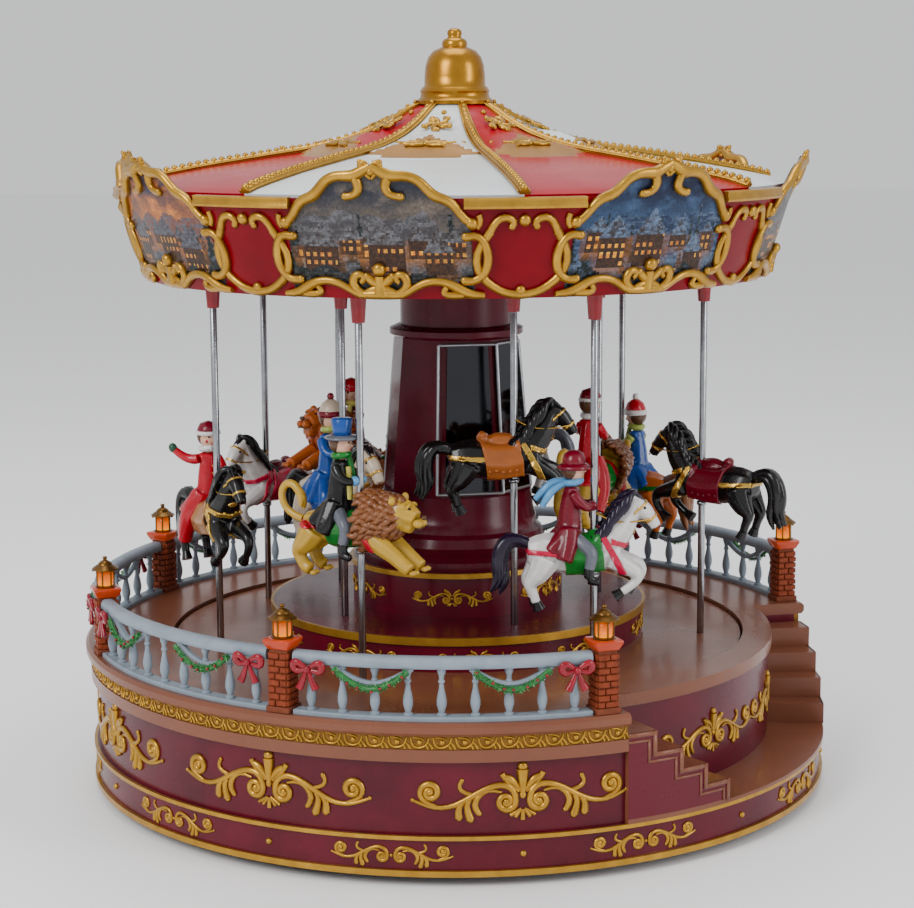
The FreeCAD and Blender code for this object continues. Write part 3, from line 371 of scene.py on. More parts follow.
palmette = [([(0, -1.0), (0, 3.0), (0, 6.5), (0, 9.4)], [0.8, 1.1, 1.7, 1.9]),
            ([(0, -5.2), (0, -7.0), (0, -9.0)], [0.5, 0.8, 0.8])]
palmette_side = [([(0.7, 1.6), (2.6, 4.2), (4.4, 6.0), (6.3, 6.6)], [0.5, 1.0, 1.35, 1.1]),
                 ([(1.3, 1.2), (3.8, 3.4), (6.0, 5.4), (7.4, 8.0)], [0.4, 0.7, 0.8, 0.95]),
                 ([(0.4, -5.2), (1.8, -6.8), (2.6, -8.0)], [0.4, 0.7, 0.6]),
                 ([(0.6, -5.0), (2.8, -6.4), (4.4, -7.4)], [0.4, 0.7, 0.6])]


def casting(strokes, beads, size=1.0, depth=0.62, sides=1, swell=1.0):
    """Strokes and round beads as one low relief, in mm, scaled about its middle."""
    shape = bmesh.new()
    add_mesh(shape, stroked([(points, [r * swell for r in radii]) for points, radii in strokes], sides))
    for x, z, radius in beads:
        bmesh.ops.create_icosphere(shape, subdivisions=2, radius=radius, matrix=Matrix.Translation((x, 0, z)))
    bmesh.ops.scale(shape, vec=(size, size * depth, size), verts=shape.verts)
    return baked(shape, "casting")


def wrapped(shape, flat, radius_at, angle, height, index=None):
    """Bend a flat relief round the spindle, its middle at an angle and height."""

    def place(point):
        z = height + point.z
        reach = radius_at(z)
        turn = math.radians(angle) + point.x / reach
        reach -= point.y
        return Vector((reach * math.sin(turn), -reach * math.cos(turn), z)) * mm

    add_mesh(shape, flat, place, index)


volute_eyes = [(side * x, z, r) for side in (-1, 1) for x, z, r in ((5.9, -2.3, 1.15), (32.7, 1.4, 1.25))]
tips = [(side * x, z, r) for side in (-1, 1) for x, z, r in ((38.9, -1.5, 0.8), (21.5, 5.7, 0.85),
            (18.5, -8.6, 1.2),
                                                             (22.5, -8.0, 1.15), (15.4, -6.4, 0.9))]
big_scroll = casting(mirrored(scroll_half() + palmette_side) + palmette, volute_eyes + tips + [(0, 10.4, 1.9),
            (0, 0, 1.3)], swell=1.25, depth=0.8)
small_scroll = casting(mirrored(scroll_half()), volute_eyes + tips + [(0, -1.5, 1.2)], 0.56, 0.8, swell=1.35)
fine_scroll = casting(mirrored(scroll_half() + palmette_side), volute_eyes + [(0, -1, 1.2)], 0.42, 0.8,
                      swell=1.2)

stair_start, stair_end = 23.6, 102.5
scrolls = bmesh.new()
wall_middle = (plinth_high[2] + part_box("leaf_frieze")[0][2]) / 2 / mm - 1.6
for k in range(10):
    angle = 8.7 - 36.0 * k
    if not stair_start - 8 < angle % 360 < stair_end + 8:
        wrapped(scrolls, big_scroll, lambda z: wall_radius + 0.25, angle, wall_middle)
    wrapped(scrolls, small_scroll, lambda z: plinth_radius + 0.15, angle - 18.0, 12.2)
    turn = math.radians(angle)
    stud = Vector((math.sin(turn), -math.cos(turn), 0)) * (plinth_radius * mm)
    bmesh.ops.create_icosphere(scrolls, subdivisions=2, radius=1.25 * mm,
                               matrix=Matrix.Translation(stud + Vector((0, 0, 0.0118))))
drum_radius = 127.6
drum_scroll = casting(mirrored(scroll_half() + palmette_side) + palmette, volute_eyes + tips + [(0, 10.4, 1.7),
            (0, 0, 1.3)], 0.8, 0.8, swell=1.25)
for drum_angle in (49.0, 77.0):
    wrapped(scrolls, drum_scroll, lambda z: drum_radius + 0.2, drum_angle, 37.0)
piece_from(scrolls, "base_scroll_castings", [gold], "base", ["base_scrolls"])

platform_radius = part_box("centre_platform")[1][1] / mm
tower_drum_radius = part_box("tower_drum")[1][1] / mm
fine = bmesh.new()
for k in range(10):
    wrapped(fine, fine_scroll, lambda z: platform_radius + 0.15, 6.0 - 36.0 * k, 63.9)
for k in range(6):
    wrapped(fine, fine_scroll, lambda z: tower_drum_radius + 0.15, -3.0 - 60.0 * k, 80.4)
piece_from(fine, "turning_scroll_castings", [gold], "rotor", ["rotor_scrolls"])

# ---------------------------------------------------------------- leaf frieze
# A gold strip under the deck edge, moulded with a running wave: a cup, a round bud and three
# small leaves in every pitch, the ground behind left dark.

frieze_low, frieze_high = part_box("leaf_frieze")
frieze_radius = frieze_high[1] / mm
frieze_middle = (frieze_low[2] + frieze_high[2]) / 2 / mm
frieze_ground = painted("frieze_ground", (0.26, 0.125, 0.018), (0.10, 0.04, 0.008), 0.4, metal=0.5, grain=500)
finish_node("leaf_frieze", frieze_ground)
wave = casting([([(-3.5, 1.9), (-3.3, -0.4), (-1.6, -1.9), (0.8, -1.7), (2.6, -0.2), (3.0, 1.8)],
                 [0.35, 0.5, 0.6, 0.6, 0.5, 0.4]),
                ([(2.6, 0.2), (3.8, -0.9), (4.2, -2.2)], [0.3, 0.55, 0.6]),
                ([(1.9, -0.8), (2.4, -1.7), (2.6, -2.3)], [0.3, 0.5, 0.5]),
                ([(-2.6, 2.0), (-0.6, 2.1), (1.4, 1.0)], [0.5, 0.55, 0.3])], [(-0.3, 0.2, 0.95)], 1.0, 0.8, 0)
frieze = bmesh.new()
frieze_pitch = 7.9
frieze_count = int(math.radians(360 - (stair_end - stair_start)) * frieze_radius / frieze_pitch)
for k in range(frieze_count):
    angle = stair_start - (k + 0.5) * (360 - (stair_end - stair_start)) / frieze_count
    wrapped(frieze, wave, lambda z: frieze_radius + 0.1, angle, frieze_middle)
piece_from(frieze, "frieze_waves", [gold], "base")

# ---------------------------------------------------------------- brick posts
# Seven square gate posts cast in brick courses, stretcher and header turn about, on a plain foot
# under a flared glazed cap; the lamp wires run up a bore inside.

deck_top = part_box("deck_ring")[1][2] / mm
post_ring = 146.0
post_angles = [20.6 - 45.8 * k for k in range(7)]
# The brick is painted darker in its hollows: painted shade.
brick = painted("brick_clay", (0.27, 0.045, 0.010), (0.10, 0.015, 0.005), 0.6, grain=420, bump=0.6, spread=0.8,
                hollow_shade=(0.10, 0.022, 0.010))
mortar = painted("post_mortar", (0.19, 0.045, 0.018), (0.11, 0.028, 0.012), 0.75, grain=600, bump=0.4)
glaze_with_painted_glow = painted("glazed_cap", (0.42, 0.030, 0.004), (0.26, 0.016, 0.003), 0.16, grain=140, coat=0.3)
# The caps hold no lamp: the faint red emission below is a painted glow on the glaze.
painted_glow_shader = glaze_with_painted_glow.node_tree.nodes["Principled BSDF"]
painted_glow_shader.inputs["Emission Color"].default_value = (1.0, 0.13, 0.01, 1)
painted_glow_shader.inputs["Emission Strength"].default_value = 0.12


def turned_out(shape, first, angle):
    """Turn what was added since first from the front to its angle round the spindle."""
    shape.verts.ensure_lookup_table()
    bmesh.ops.rotate(shape, verts=shape.verts[first:], cent=(0, 0, 0),
                     matrix=Matrix.Rotation(math.radians(angle), 3, "Z"))


def add_block(shape, middle, size, index=0, soft=0.0):
    """A block in mm, its edges eased by soft."""
    part = bmesh.new()
    bmesh.ops.create_cube(part, size=1.0)
    bmesh.ops.scale(part, vec=size, verts=part.verts)
    if soft:
        bmesh.ops.bevel(part, geom=part.edges[:], offset=soft, segments=1, affect="EDGES", profile=0.5,
                        material=-1)
    bmesh.ops.translate(part, vec=middle, verts=part.verts)
    bmesh.ops.scale(part, vec=(mm, mm, mm), verts=part.verts)
    add_mesh(shape, baked(part, "block"), None, index)


def add_turned(shape, profile, middle=(0, 0, 0), steps=24, index=0, unit=mm):
    """A turned part from (radius, height) points in mm, about an upright line through middle."""
    part = bmesh.new()
    line = [part.verts.new((r, 0, z)) for r, z in profile]
    edges = [part.edges.new(pair) for pair in zip(line[:-1], line[1:])]
    bmesh.ops.spin(part, geom=line + edges, cent=(0, 0, 0), axis=(0, 0, 1), angle=math.tau, steps=steps,
                   use_merge=True)
    bmesh.ops.remove_doubles(part, verts=part.verts, dist=0.0005)
    bmesh.ops.recalc_face_normals(part, faces=part.faces)
    bmesh.ops.translate(part, vec=middle, verts=part.verts)
    bmesh.ops.scale(part, vec=(unit, unit, unit), verts=part.verts)
    add_mesh(shape, baked(part, "turned"), None, index)


dice = random.Random(4)
posts = bmesh.new()
course_height = 2.45
for angle in post_angles:
    first = len(posts.verts)
    add_block(posts, (0, -post_ring, deck_top + 1.1), (9.4, 9.4, 2.2), 1, 0.25)
    add_block(posts, (0, -post_ring, deck_top + 12.4), (7.0, 7.0, 20.8), 1)
    for course in range(8):
        z = deck_top + 3.4 + course_height * course
        for side in range(4):
            lengths = (4.7, 2.9) if (course + side) % 2 else (2.9, 4.7)
            x = -4.0
            for length in lengths:
                jut = dice.uniform(-0.12, 0.22)
                start = len(posts.verts)
                add_block(posts, (x + length / 2, -3.75 - jut, z), (length - 0.35, 1.1, course_height - 0.4),
                          0, 0.28)
                posts.verts.ensure_lookup_table()
                grown = posts.verts[start:]
                bmesh.ops.rotate(posts, verts=grown, cent=(0, 0, 0), matrix=Matrix.Rotation(math.pi / 2 * side,
                            3, "Z"))
                bmesh.ops.translate(posts, verts=grown, vec=(0, -post_ring * mm, 0))
                x += length
    cap = bmesh.new()
    bmesh.ops.create_cube(cap, size=1.0)
    bmesh.ops.scale(cap, vec=(8.2, 8.2, 2.6), verts=cap.verts)
    bmesh.ops.scale(cap, vec=(1.3, 1.3, 1), verts=[v for v in cap.verts if v.co.z > 0])
    bmesh.ops.translate(cap, vec=(0, 0, 1.3), verts=cap.verts)
    top = [f for f in cap.faces if f.normal.z > 0.9]
    raised = bmesh.ops.extrude_face_region(cap, geom=top)["geom"]
    bmesh.ops.translate(cap, vec=(0, 0, 1.1), verts=[v for v in raised if isinstance(v, bmesh.types.BMVert)])
    bmesh.ops.delete(cap, geom=top, context="FACES_ONLY")
    bmesh.ops.bevel(cap, geom=cap.edges[:], offset=0.35, segments=2, affect="EDGES", profile=0.5, material=-1)
    bmesh.ops.translate(cap, vec=(0, -post_ring, deck_top + 22.9), verts=cap.verts)
    bmesh.ops.scale(cap, vec=(mm, mm, mm), verts=cap.verts)
    add_mesh(posts, baked(cap, "cap"), None, 2)
    turned_out(posts, first, angle)
posts_piece = piece_from(posts, "brick_gate_posts", [brick, mortar, glaze_with_painted_glow], "base", ["brick_posts"])
creased(posts_piece, 40)

# ---------------------------------------------------------------- lanterns
# A bronze-painted lantern on each post: amber moulded lens over a warm lamp, six thin bars,
# a turned conical roof with a rolled eave and a ball knob.

lantern_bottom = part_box("lantern_lenses")[0][2] / mm
# The bronze is painted darker in its hollows: painted shade.
bronze = painted("lantern_bronze", (0.20, 0.095, 0.018), (0.085, 0.040, 0.010), 0.3, metal=0.75, grain=300,
                 hollow_shade=(0.03, 0.012, 0.004))


def lit_lens():
    """Amber plastic with the lamp behind it: brightest low down, where the lamp stands."""
    material, shader = shader_of("amber_lens", Roughness=0.15, Coat_Weight=0.1, Specular_IOR_Level=0.2)
    place = shader_node(material, "TexCoord").outputs["Object"]
    parts = shader_node(material, "SeparateXYZ")
    rise = shader_node(material, "MapRange", From_Min=lantern_bottom * mm, From_Max=(lantern_bottom + 7.2) * mm)
    ramp = shader_node(material, "ValToRGB")
    ramp.color_ramp.elements[0].color = (1.0, 0.36, 0.006, 1)
    ramp.color_ramp.elements[1].color = (0.60, 0.07, 0.001, 1)
    ramp.color_ramp.elements.new(0.35).color = (1.0, 0.20, 0.002, 1)
    power = shader_node(material, "MapRange", To_Min=1.7, To_Max=0.55)
    frost = shader_node(material, "TexNoise", Scale=700.0)
    wobble = shader_node(material, "Math")
    wobble.operation = "MULTIPLY_ADD"
    wobble.inputs[1].default_value = 0.35
    shift = shader_node(material, "Math")
    shift.operation = "SUBTRACT"
    shift.inputs[1].default_value = 0.17
    dim = shader_node(material, "VectorMath")
    dim.operation = "SCALE"
    dim.inputs["Scale"].default_value = 0.25
    joined(material, (place, parts.inputs["Vector"]), (place, frost.inputs["Vector"]), (parts.outputs["Z"],
                rise.inputs["Value"]),
           (frost.outputs["Fac"], wobble.inputs[0]), (rise.outputs["Result"], wobble.inputs[2]),
           (wobble.outputs["Value"], shift.inputs[0]),
           (shift.outputs["Value"], ramp.inputs["Fac"]), (shift.outputs["Value"], power.inputs["Value"]),
           (ramp.outputs["Color"], dim.inputs[0]), (dim.outputs["Vector"], shader.inputs["Base Color"]),
           (ramp.outputs["Color"], shader.inputs["Emission Color"]), (power.outputs["Result"],
                       shader.inputs["Emission Strength"]))
    return material


amber_lens = lit_lens()
lenses = bmesh.new()
lanterns = bmesh.new()
for angle in post_angles:
    first_lens, first = len(lenses.verts), len(lanterns.verts)
    z = lantern_bottom
    add_turned(lenses, [(0, z + 0.2), (2.5, z + 0.2), (2.9, z + 0.8), (3.15, z + 4.0), (3.1, z + 7.0),
                        (0, z + 7.0)], (0, -post_ring, 0), 12)
    add_turned(lanterns, [(0, z - 0.1), (4.0, z - 0.1), (4.1, z + 0.5), (3.3, z + 0.9), (2.6, z + 0.9)],
               (0, -post_ring, 0), 12)
    add_turned(lanterns, [(2.6, z + 6.8), (4.0, z + 6.9), (5.2, z + 7.1), (5.3, z + 7.5), (4.4, z + 8.1),
                          (3.4, z + 8.9), (2.9, z + 9.0),
                          (2.6, z + 9.7), (1.5, z + 10.5), (0.8, z + 10.8), (0.7, z + 11.2), (1.0, z + 11.7),
                          (0.8, z + 12.2), (0, z + 12.4)],
               (0, -post_ring, 0), 12)
    for k in range(6):
        turn = math.radians(60 * k + 30)
        x, y = 3.35 * math.cos(turn), 3.35 * math.sin(turn)
        add_block(lanterns, (x, -post_ring + y, z + 3.9), (0.55, 0.55, 6.4), 0, 0.1)
        add_block(lanterns, (x * 1.42, -post_ring + y * 1.42, z + 7.0), (0.9, 0.9, 0.9), 0, 0.2)
    turned_out(lenses, first_lens, angle)
    turned_out(lanterns, first, angle)
piece_from(lenses, "lantern_glasses", [amber_lens], "base", ["lantern_lenses"])
lantern_piece = piece_from(lanterns, "lantern_housings", [bronze], "base", ["lantern_frames"])
creased(lantern_piece, 35)

# ---------------------------------------------------------------- balustrade
# Moulded stone-grey rails between the posts on turned balusters; a coved plaster swag
# hangs under the handrail behind each garland.

# The stone paint is painted bluish-dark in its hollows: painted shade.
stone = painted("stone_paint", (0.27, 0.32, 0.37), (0.16, 0.195, 0.235), 0.42, grain=130, bump=0.25,
                spread=0.9, hollow_shade=(0.04, 0.05, 0.065))
rail_ring = 146.3
post_share = math.degrees(5.3 / post_ring)


def add_moulding(shape, profile, start, sweep, steps=40, index=0):
    """A closed (radius, height) profile in mm swept round the spindle, its ends capped."""
    part = bmesh.new()
    turn = math.radians(start)
    ring = [part.verts.new((r * math.sin(turn), -r * math.cos(turn), z)) for r, z in profile]
    face = part.faces.new(ring)
    bmesh.ops.spin(part, geom=[face] + list(face.edges) + ring, cent=(0, 0, 0), axis=(0, 0, 1),
                   angle=math.radians(sweep), steps=steps)
    bmesh.ops.holes_fill(part, edges=part.edges[:], sides=len(profile))
    bmesh.ops.recalc_face_normals(part, faces=part.faces)
    bmesh.ops.scale(part, vec=(mm, mm, mm), verts=part.verts)
    add_mesh(shape, baked(part, "moulding"), None, index)


rail_profile = [(-2.3, 18.7), (-1.2, 18.4), (1.2, 18.4), (2.3, 18.7), (2.8, 19.6), (2.8, 21.0), (2.3, 22.2),
                (1.2, 22.8), (-1.2, 22.8),
                (-2.3, 22.2), (-2.8, 21.0), (-2.8, 19.6)]
kerb_profile = [(-2.8, 0.0), (2.8, 0.0), (2.8, 1.2), (2.4, 1.6), (-2.4, 1.6), (-2.8, 1.2)]
baluster_profile = [(0, 1.4), (1.7, 1.5), (1.7, 2.3), (1.0, 2.7), (1.25, 3.6), (1.75, 5.4), (1.8, 7.0),
                    (1.45, 9.2), (0.95, 11.4), (0.8, 13.2),
                    (1.2, 13.6), (1.2, 14.2), (0.85, 14.6), (1.0, 16.0), (1.5, 17.2), (1.6, 18.6), (0, 18.6)]
balustrade = bmesh.new()
for angle in post_angles[:-1]:
    start = angle - 45.8 + post_share
    sweep = 45.8 - 2 * post_share
    for profile in (rail_profile, kerb_profile):
        add_moulding(balustrade, [(rail_ring + r, deck_top + z) for r, z in profile], start, sweep)
    for k in range(9):
        first = len(balustrade.verts)
        add_turned(balustrade, [(r, deck_top + z) for r, z in baluster_profile], (0, -rail_ring, 0), 10)
        turned_out(balustrade, first, start + sweep * (k + 0.5) / 9)
    for share in (0.29, 0.71):
        sag = [(x, 18.6 - 6.0 * math.cos(x / 14.5 * math.pi / 2)) for x in (-14.5, -11, -7, -3, 0, 3, 7, 11,
                    14.5)]
        swag = casting([(sag, [1.1] * 9)], [], 1.0, 1.3)
        wrapped(balustrade, swag, lambda z: rail_ring + 0.6, angle - 45.8 * share, deck_top)
bmesh.ops.remove_doubles(balustrade, verts=balustrade.verts, dist=0.000001)
rail_piece = piece_from(balustrade, "stone_balustrade", [stone], "base", ["balustrades"])
creased(rail_piece, 40)

# ---------------------------------------------------------------- garlands and bows
# Cast fir garlands painted green with red berries, hung in two swags per section and tied at
# the posts with glossy red ribbon bows.

leaf_green = painted("fir_green", (0.035, 0.21, 0.045), (0.010, 0.075, 0.020), 0.3, grain=900, spread=0.7,
                     coat=0.2)
leaf_tip = painted("fir_tips", (0.22, 0.46, 0.20), (0.07, 0.26, 0.07), 0.35, grain=900)
ribbon_red = painted("ribbon_red", (0.30, 0.002, 0.014), (0.15, 0.001, 0.008), 0.22, grain=300, coat=0.4)
garlands = bmesh.new()
garland_ring = 149.9


def sag_at(x):
    """Height of a swag above the deck at a distance from its middle."""
    return 18.0 - 6.6 * math.cos(x / 13.5 * math.pi / 2)


for angle in post_angles[:-1]:
    for share in (0.29, 0.71):
        sprig = bmesh.new()
        path = [(x, sag_at(x)) for x in [-13.5 + 27 * k / 16 for k in range(17)]]
        add_mesh(sprig, stroked([(path, [1.15] * 17)], 0, 1), None, 0)
        for k in range(84):
            x = dice.uniform(-13.2, 13.2)
            z = sag_at(x)
            around = dice.uniform(-1.9, 1.9)
            out = Vector((dice.uniform(-0.8, 0.8), -math.cos(around), math.sin(around))).normalized()
            root = Vector((x, 0, z)) + out * 0.5
            tip = root + out * dice.uniform(1.2, 1.9)
            first_face = len(sprig.faces)
            lean_out = out.to_track_quat("Z", "Y").to_matrix().to_4x4()
            bmesh.ops.create_cone(sprig, segments=4, radius1=0.5, radius2=0.04, depth=(tip - root).length,
                                  cap_ends=True, matrix=Matrix.Translation((root + tip) / 2) @ lean_out)
            indexed(sprig, first_face, 1 if k % 3 == 0 else 0)
        for k in range(7):
            x = -12 + 4 * k + dice.uniform(-1, 1)
            z = sag_at(x) + dice.uniform(-0.8, 0.8)
            first_face = len(sprig.faces)
            bmesh.ops.create_icosphere(sprig, subdivisions=1, radius=0.62,
                                       matrix=Matrix.Translation((x, -1.5, z)))
            indexed(sprig, first_face, 2)
        sprig_mesh = baked(sprig, "sprig")
        wrapped(garlands, sprig_mesh, lambda z: garland_ring, angle - 45.8 * share, deck_top)
piece_from(garlands, "fir_garlands", [leaf_green, leaf_tip, ribbon_red], "base", ["garlands"])

bow_parts = []
for side in (-1, 1):
    loop = [(side * 0.3, -0.3, 0), (side * 2.6, -1.3, 2.2), (side * 5.0, -1.0, 2.6), (side * 5.6, -0.3, 0.6),
            (side * 4.6, 0.2, -1.0), (side * 2.4, -0.4, -0.8), (side * 0.2, -0.3, 0)]
    bow_parts.append((loop, [0.7, 1.1, 1.35, 1.5, 1.3, 1.0, 0.6]))
    bow_parts.append(([(side * 0.3, -0.4, -0.3), (side * 1.4, -0.8, -3.2), (side * 2.2, -0.4, -5.4),
                       (side * 3.3, -0.6, -7.2)], [0.6, 1.0, 1.3, 1.5]))
bow_shape = bmesh.new()
add_mesh(bow_shape, stroked(bow_parts, 2, 3))
bmesh.ops.scale(bow_shape, vec=(1, 0.75, 1), verts=bow_shape.verts)
bmesh.ops.create_icosphere(bow_shape, subdivisions=2, radius=1.35, matrix=Matrix.Translation((0, -0.9, 0)))
bow_mesh = baked(bow_shape, "bow")
bows = bmesh.new()
for angle in post_angles[:-1]:
    for share in (0.1, 0.9):
        wrapped(bows, bow_mesh, lambda z: garland_ring + 0.2, angle - 45.8 * share, deck_top + 17.2)
piece_from(bows, "ribbon_bows", [ribbon_red], "base", ["bows"])

# ---------------------------------------------------------------- canopy band
# A flared red plastic ring under the roof edge, turning with the tower, with a gilt bar
# along its top between the picture frames.

band_low, band_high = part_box("canopy_band")
band_bottom = band_low[2] / mm
band_top = band_high[2] / mm
band_foot_radius, band_slope = 123.5, 0.313


def band_radius(z):
    return band_foot_radius + band_slope * (z - band_bottom)


signal_red = painted("canopy_red_paint", (0.19, 0.0006, 0.0070), (0.115, 0.0004, 0.0045), 0.30, grain=40,
                     coat=0.03, sheen=0.10)
finish_node("canopy_band", signal_red)
small_angles = [10.4 + 45.0 * k for k in range(8)]
large_angles = [-12.1 + 45.0 * k for k in range(8)]

edge_bar = bmesh.new()
for angle in small_angles:
    profile = [(band_radius(band_top) - 0.5, band_top - 3.6), (band_radius(band_top) + 1.6, band_top - 3.6),
               (band_radius(band_top) + 2.0, band_top - 2.8),
               (band_radius(band_top) + 1.5, band_top - 1.2), (band_radius(band_top) + 1.8, band_top + 0.2),
               (band_radius(band_top) - 0.5, band_top + 0.4)]
    add_moulding(edge_bar, profile, angle - 9.2, 18.4, 10)
bar_piece = piece_from(edge_bar, "canopy_edge_bars", [gold], "rotor", ["canopy_frames"])
creased(bar_piece, 35)

# ---------------------------------------------------------------- canopy frames
# Gilt rocaille castings: an arched frame with a heart crest round each picture, and a shield of
# C-scrolls on each red panel between, all standing a few millimetres proud.

arch = [(33.6, 26.4), (30.6, 28.6), (28.6, 32.4), (25.6, 35.0), (21.8, 36.0), (19.2, 38.6), (16.6, 41.6),
        (13.0, 43.2), (9.4, 43.3), (6.2, 43.2), (3.6, 44.6), (0.0, 46.6)]
frame_side = [
    (arch, [1.4, 1.2, 1.4, 1.5, 1.7, 1.5, 1.5, 1.5, 1.6, 1.8, 1.7, 1.2]),
    ([(6.0, 43.0), (4.6, 40.6), (5.0, 37.8), (7.2, 36.2), (9.6, 36.0)], [1.4, 1.4, 1.3, 1.1, 1.2]),
    ([(1.2, 47.6), (3.0, 48.2), (3.6, 46.4), (2.2, 44.4), (0.2, 42.2)], [0.7, 0.9, 0.9, 0.8, 0.5]),
    ([(31.6, 22.0), (34.6, 22.8), (37.4, 20.6), (38.6, 16.4), (38.2, 11.8), (36.2, 8.2), (33.0, 6.0),
      (30.2, 6.4)], [1.3, 1.2, 1.2, 1.3, 1.3, 1.2, 1.1, 1.3]),
    ([(7.0, 1.3), (9.6, 2.2), (12.4, 4.2), (16.0, 5.9), (20.4, 6.5), (24.6, 5.6), (28.6, 3.0), (32.0, 1.4),
      (36.4, 1.2)], [1.2, 1.0, 1.1, 1.2, 1.2, 1.4, 1.6, 1.4, 0.9]),
    ([(30.0, 1.5), (26.0, 1.2), (22.8, 1.5), (22.0, 3.2), (23.4, 4.2)], [0.9, 1.2, 1.1, 0.9, 0.8]),
    ([(5.0, 1.3), (8.4, 2.8), (10.0, 5.8), (8.8, 8.6), (6.2, 8.8), (5.4, 6.8), (6.9, 5.8)],
     [1.0, 1.2, 1.3, 1.3, 1.1, 0.9, 0.8]),
    ([(0.6, 5.0), (2.6, 6.0), (4.2, 7.6)], [1.2, 1.5, 1.2]),
    ([(1.0, 3.8), (3.4, 3.4), (5.6, 2.0)], [1.0, 1.2, 0.9])]
frame_middle = [([(-7.0, 1.4), (0, 1.6), (7.0, 1.4)], [1.2, 1.7, 1.2]), ([(0, 1.5), (0, 4.6), (0, 8.0)],
            [2.2, 1.7, 1.4])]
frame_beads = [(0, 10.4, 2.5), (0, 44.6, 1.5)]
for side in (-1, 1):
    frame_beads += [(side * 33.6, 26.6, 2.2), (side * 9.8, 36.1, 1.5), (side * 31.2, 22.0, 1.7),
                    (side * 29.8, 6.5, 1.6), (side * 4.6, 8.0, 1.5), (side * 3.4, 48.0, 1.1)]
shield_side = [
    ([(11.8, 23.8), (15.6, 18.6), (16.4, 12.4), (13.6, 7.0), (8.0, 3.0), (3.4, 1.4), (0, 1.2)],
     [1.3, 1.2, 1.3, 1.3, 1.2, 1.3, 1.3]),
    ([(12.4, 22.6), (11.0, 26.4), (8.2, 28.8), (5.0, 28.4), (3.4, 26.4), (4.6, 25.2)], [1.2, 1.1, 1.2, 1.2,
                1.1, 1.0]),
    ([(16.2, 29.6), (15.0, 27.0), (16.6, 25.0)], [0.9, 1.1, 0.9])]
shield_beads = [(0, 27.6, 2.2), (0, 2.8, 1.9)] + [(side * 4.4, 25.4, 1.3) for side in (-1, 1)]
picture_frame = casting(mirrored(frame_side) + frame_middle, frame_beads, 1.0, 0.95, 1, 1.32)
shield = casting(mirrored(shield_side), shield_beads, 1.0, 0.85, 1, 1.28)
frames = bmesh.new()
for angle in large_angles:
    wrapped(frames, picture_frame, lambda z: band_radius(z) + 1.0, angle, band_bottom)
for angle in small_angles:
    wrapped(frames, shield, lambda z: band_radius(z) + 0.5, angle, band_bottom)
piece_from(frames, "canopy_rocaille_frames", [gold], "rotor")

# ---------------------------------------------------------------- picture panels
# Eight varnished scenes on curved board, each cut to its frame: snowy villages at dusk
# with lit windows, firs, hills and a frozen pond, painted in small dabs.

panel_half = 33.0


def arch_height(x):
    """Height of the arch above the band's foot at a distance from the middle."""
    reach = abs(x)
    for (xa, za), (xb, zb) in zip(arch[:-1], arch[1:]):
        if xb <= reach <= xa:
            return za + (zb - za) * (xa - reach) / (xa - xb)
    return arch[0][1]


def sill_height(x):
    """Height of the wavy bottom rail."""
    reach = abs(x)
    rail = frame_side[4][0]
    for (xa, za), (xb, zb) in zip(rail[:-1], rail[1:]):
        if xa <= reach <= xb:
            return za + (zb - za) * (reach - xa) / (xb - xa)
    return rail[0][1]


def mixed(a, b, share):
    share = max(0.0, min(1.0, share))
    return [p + (q - p) * share for p, q in zip(a, b)]


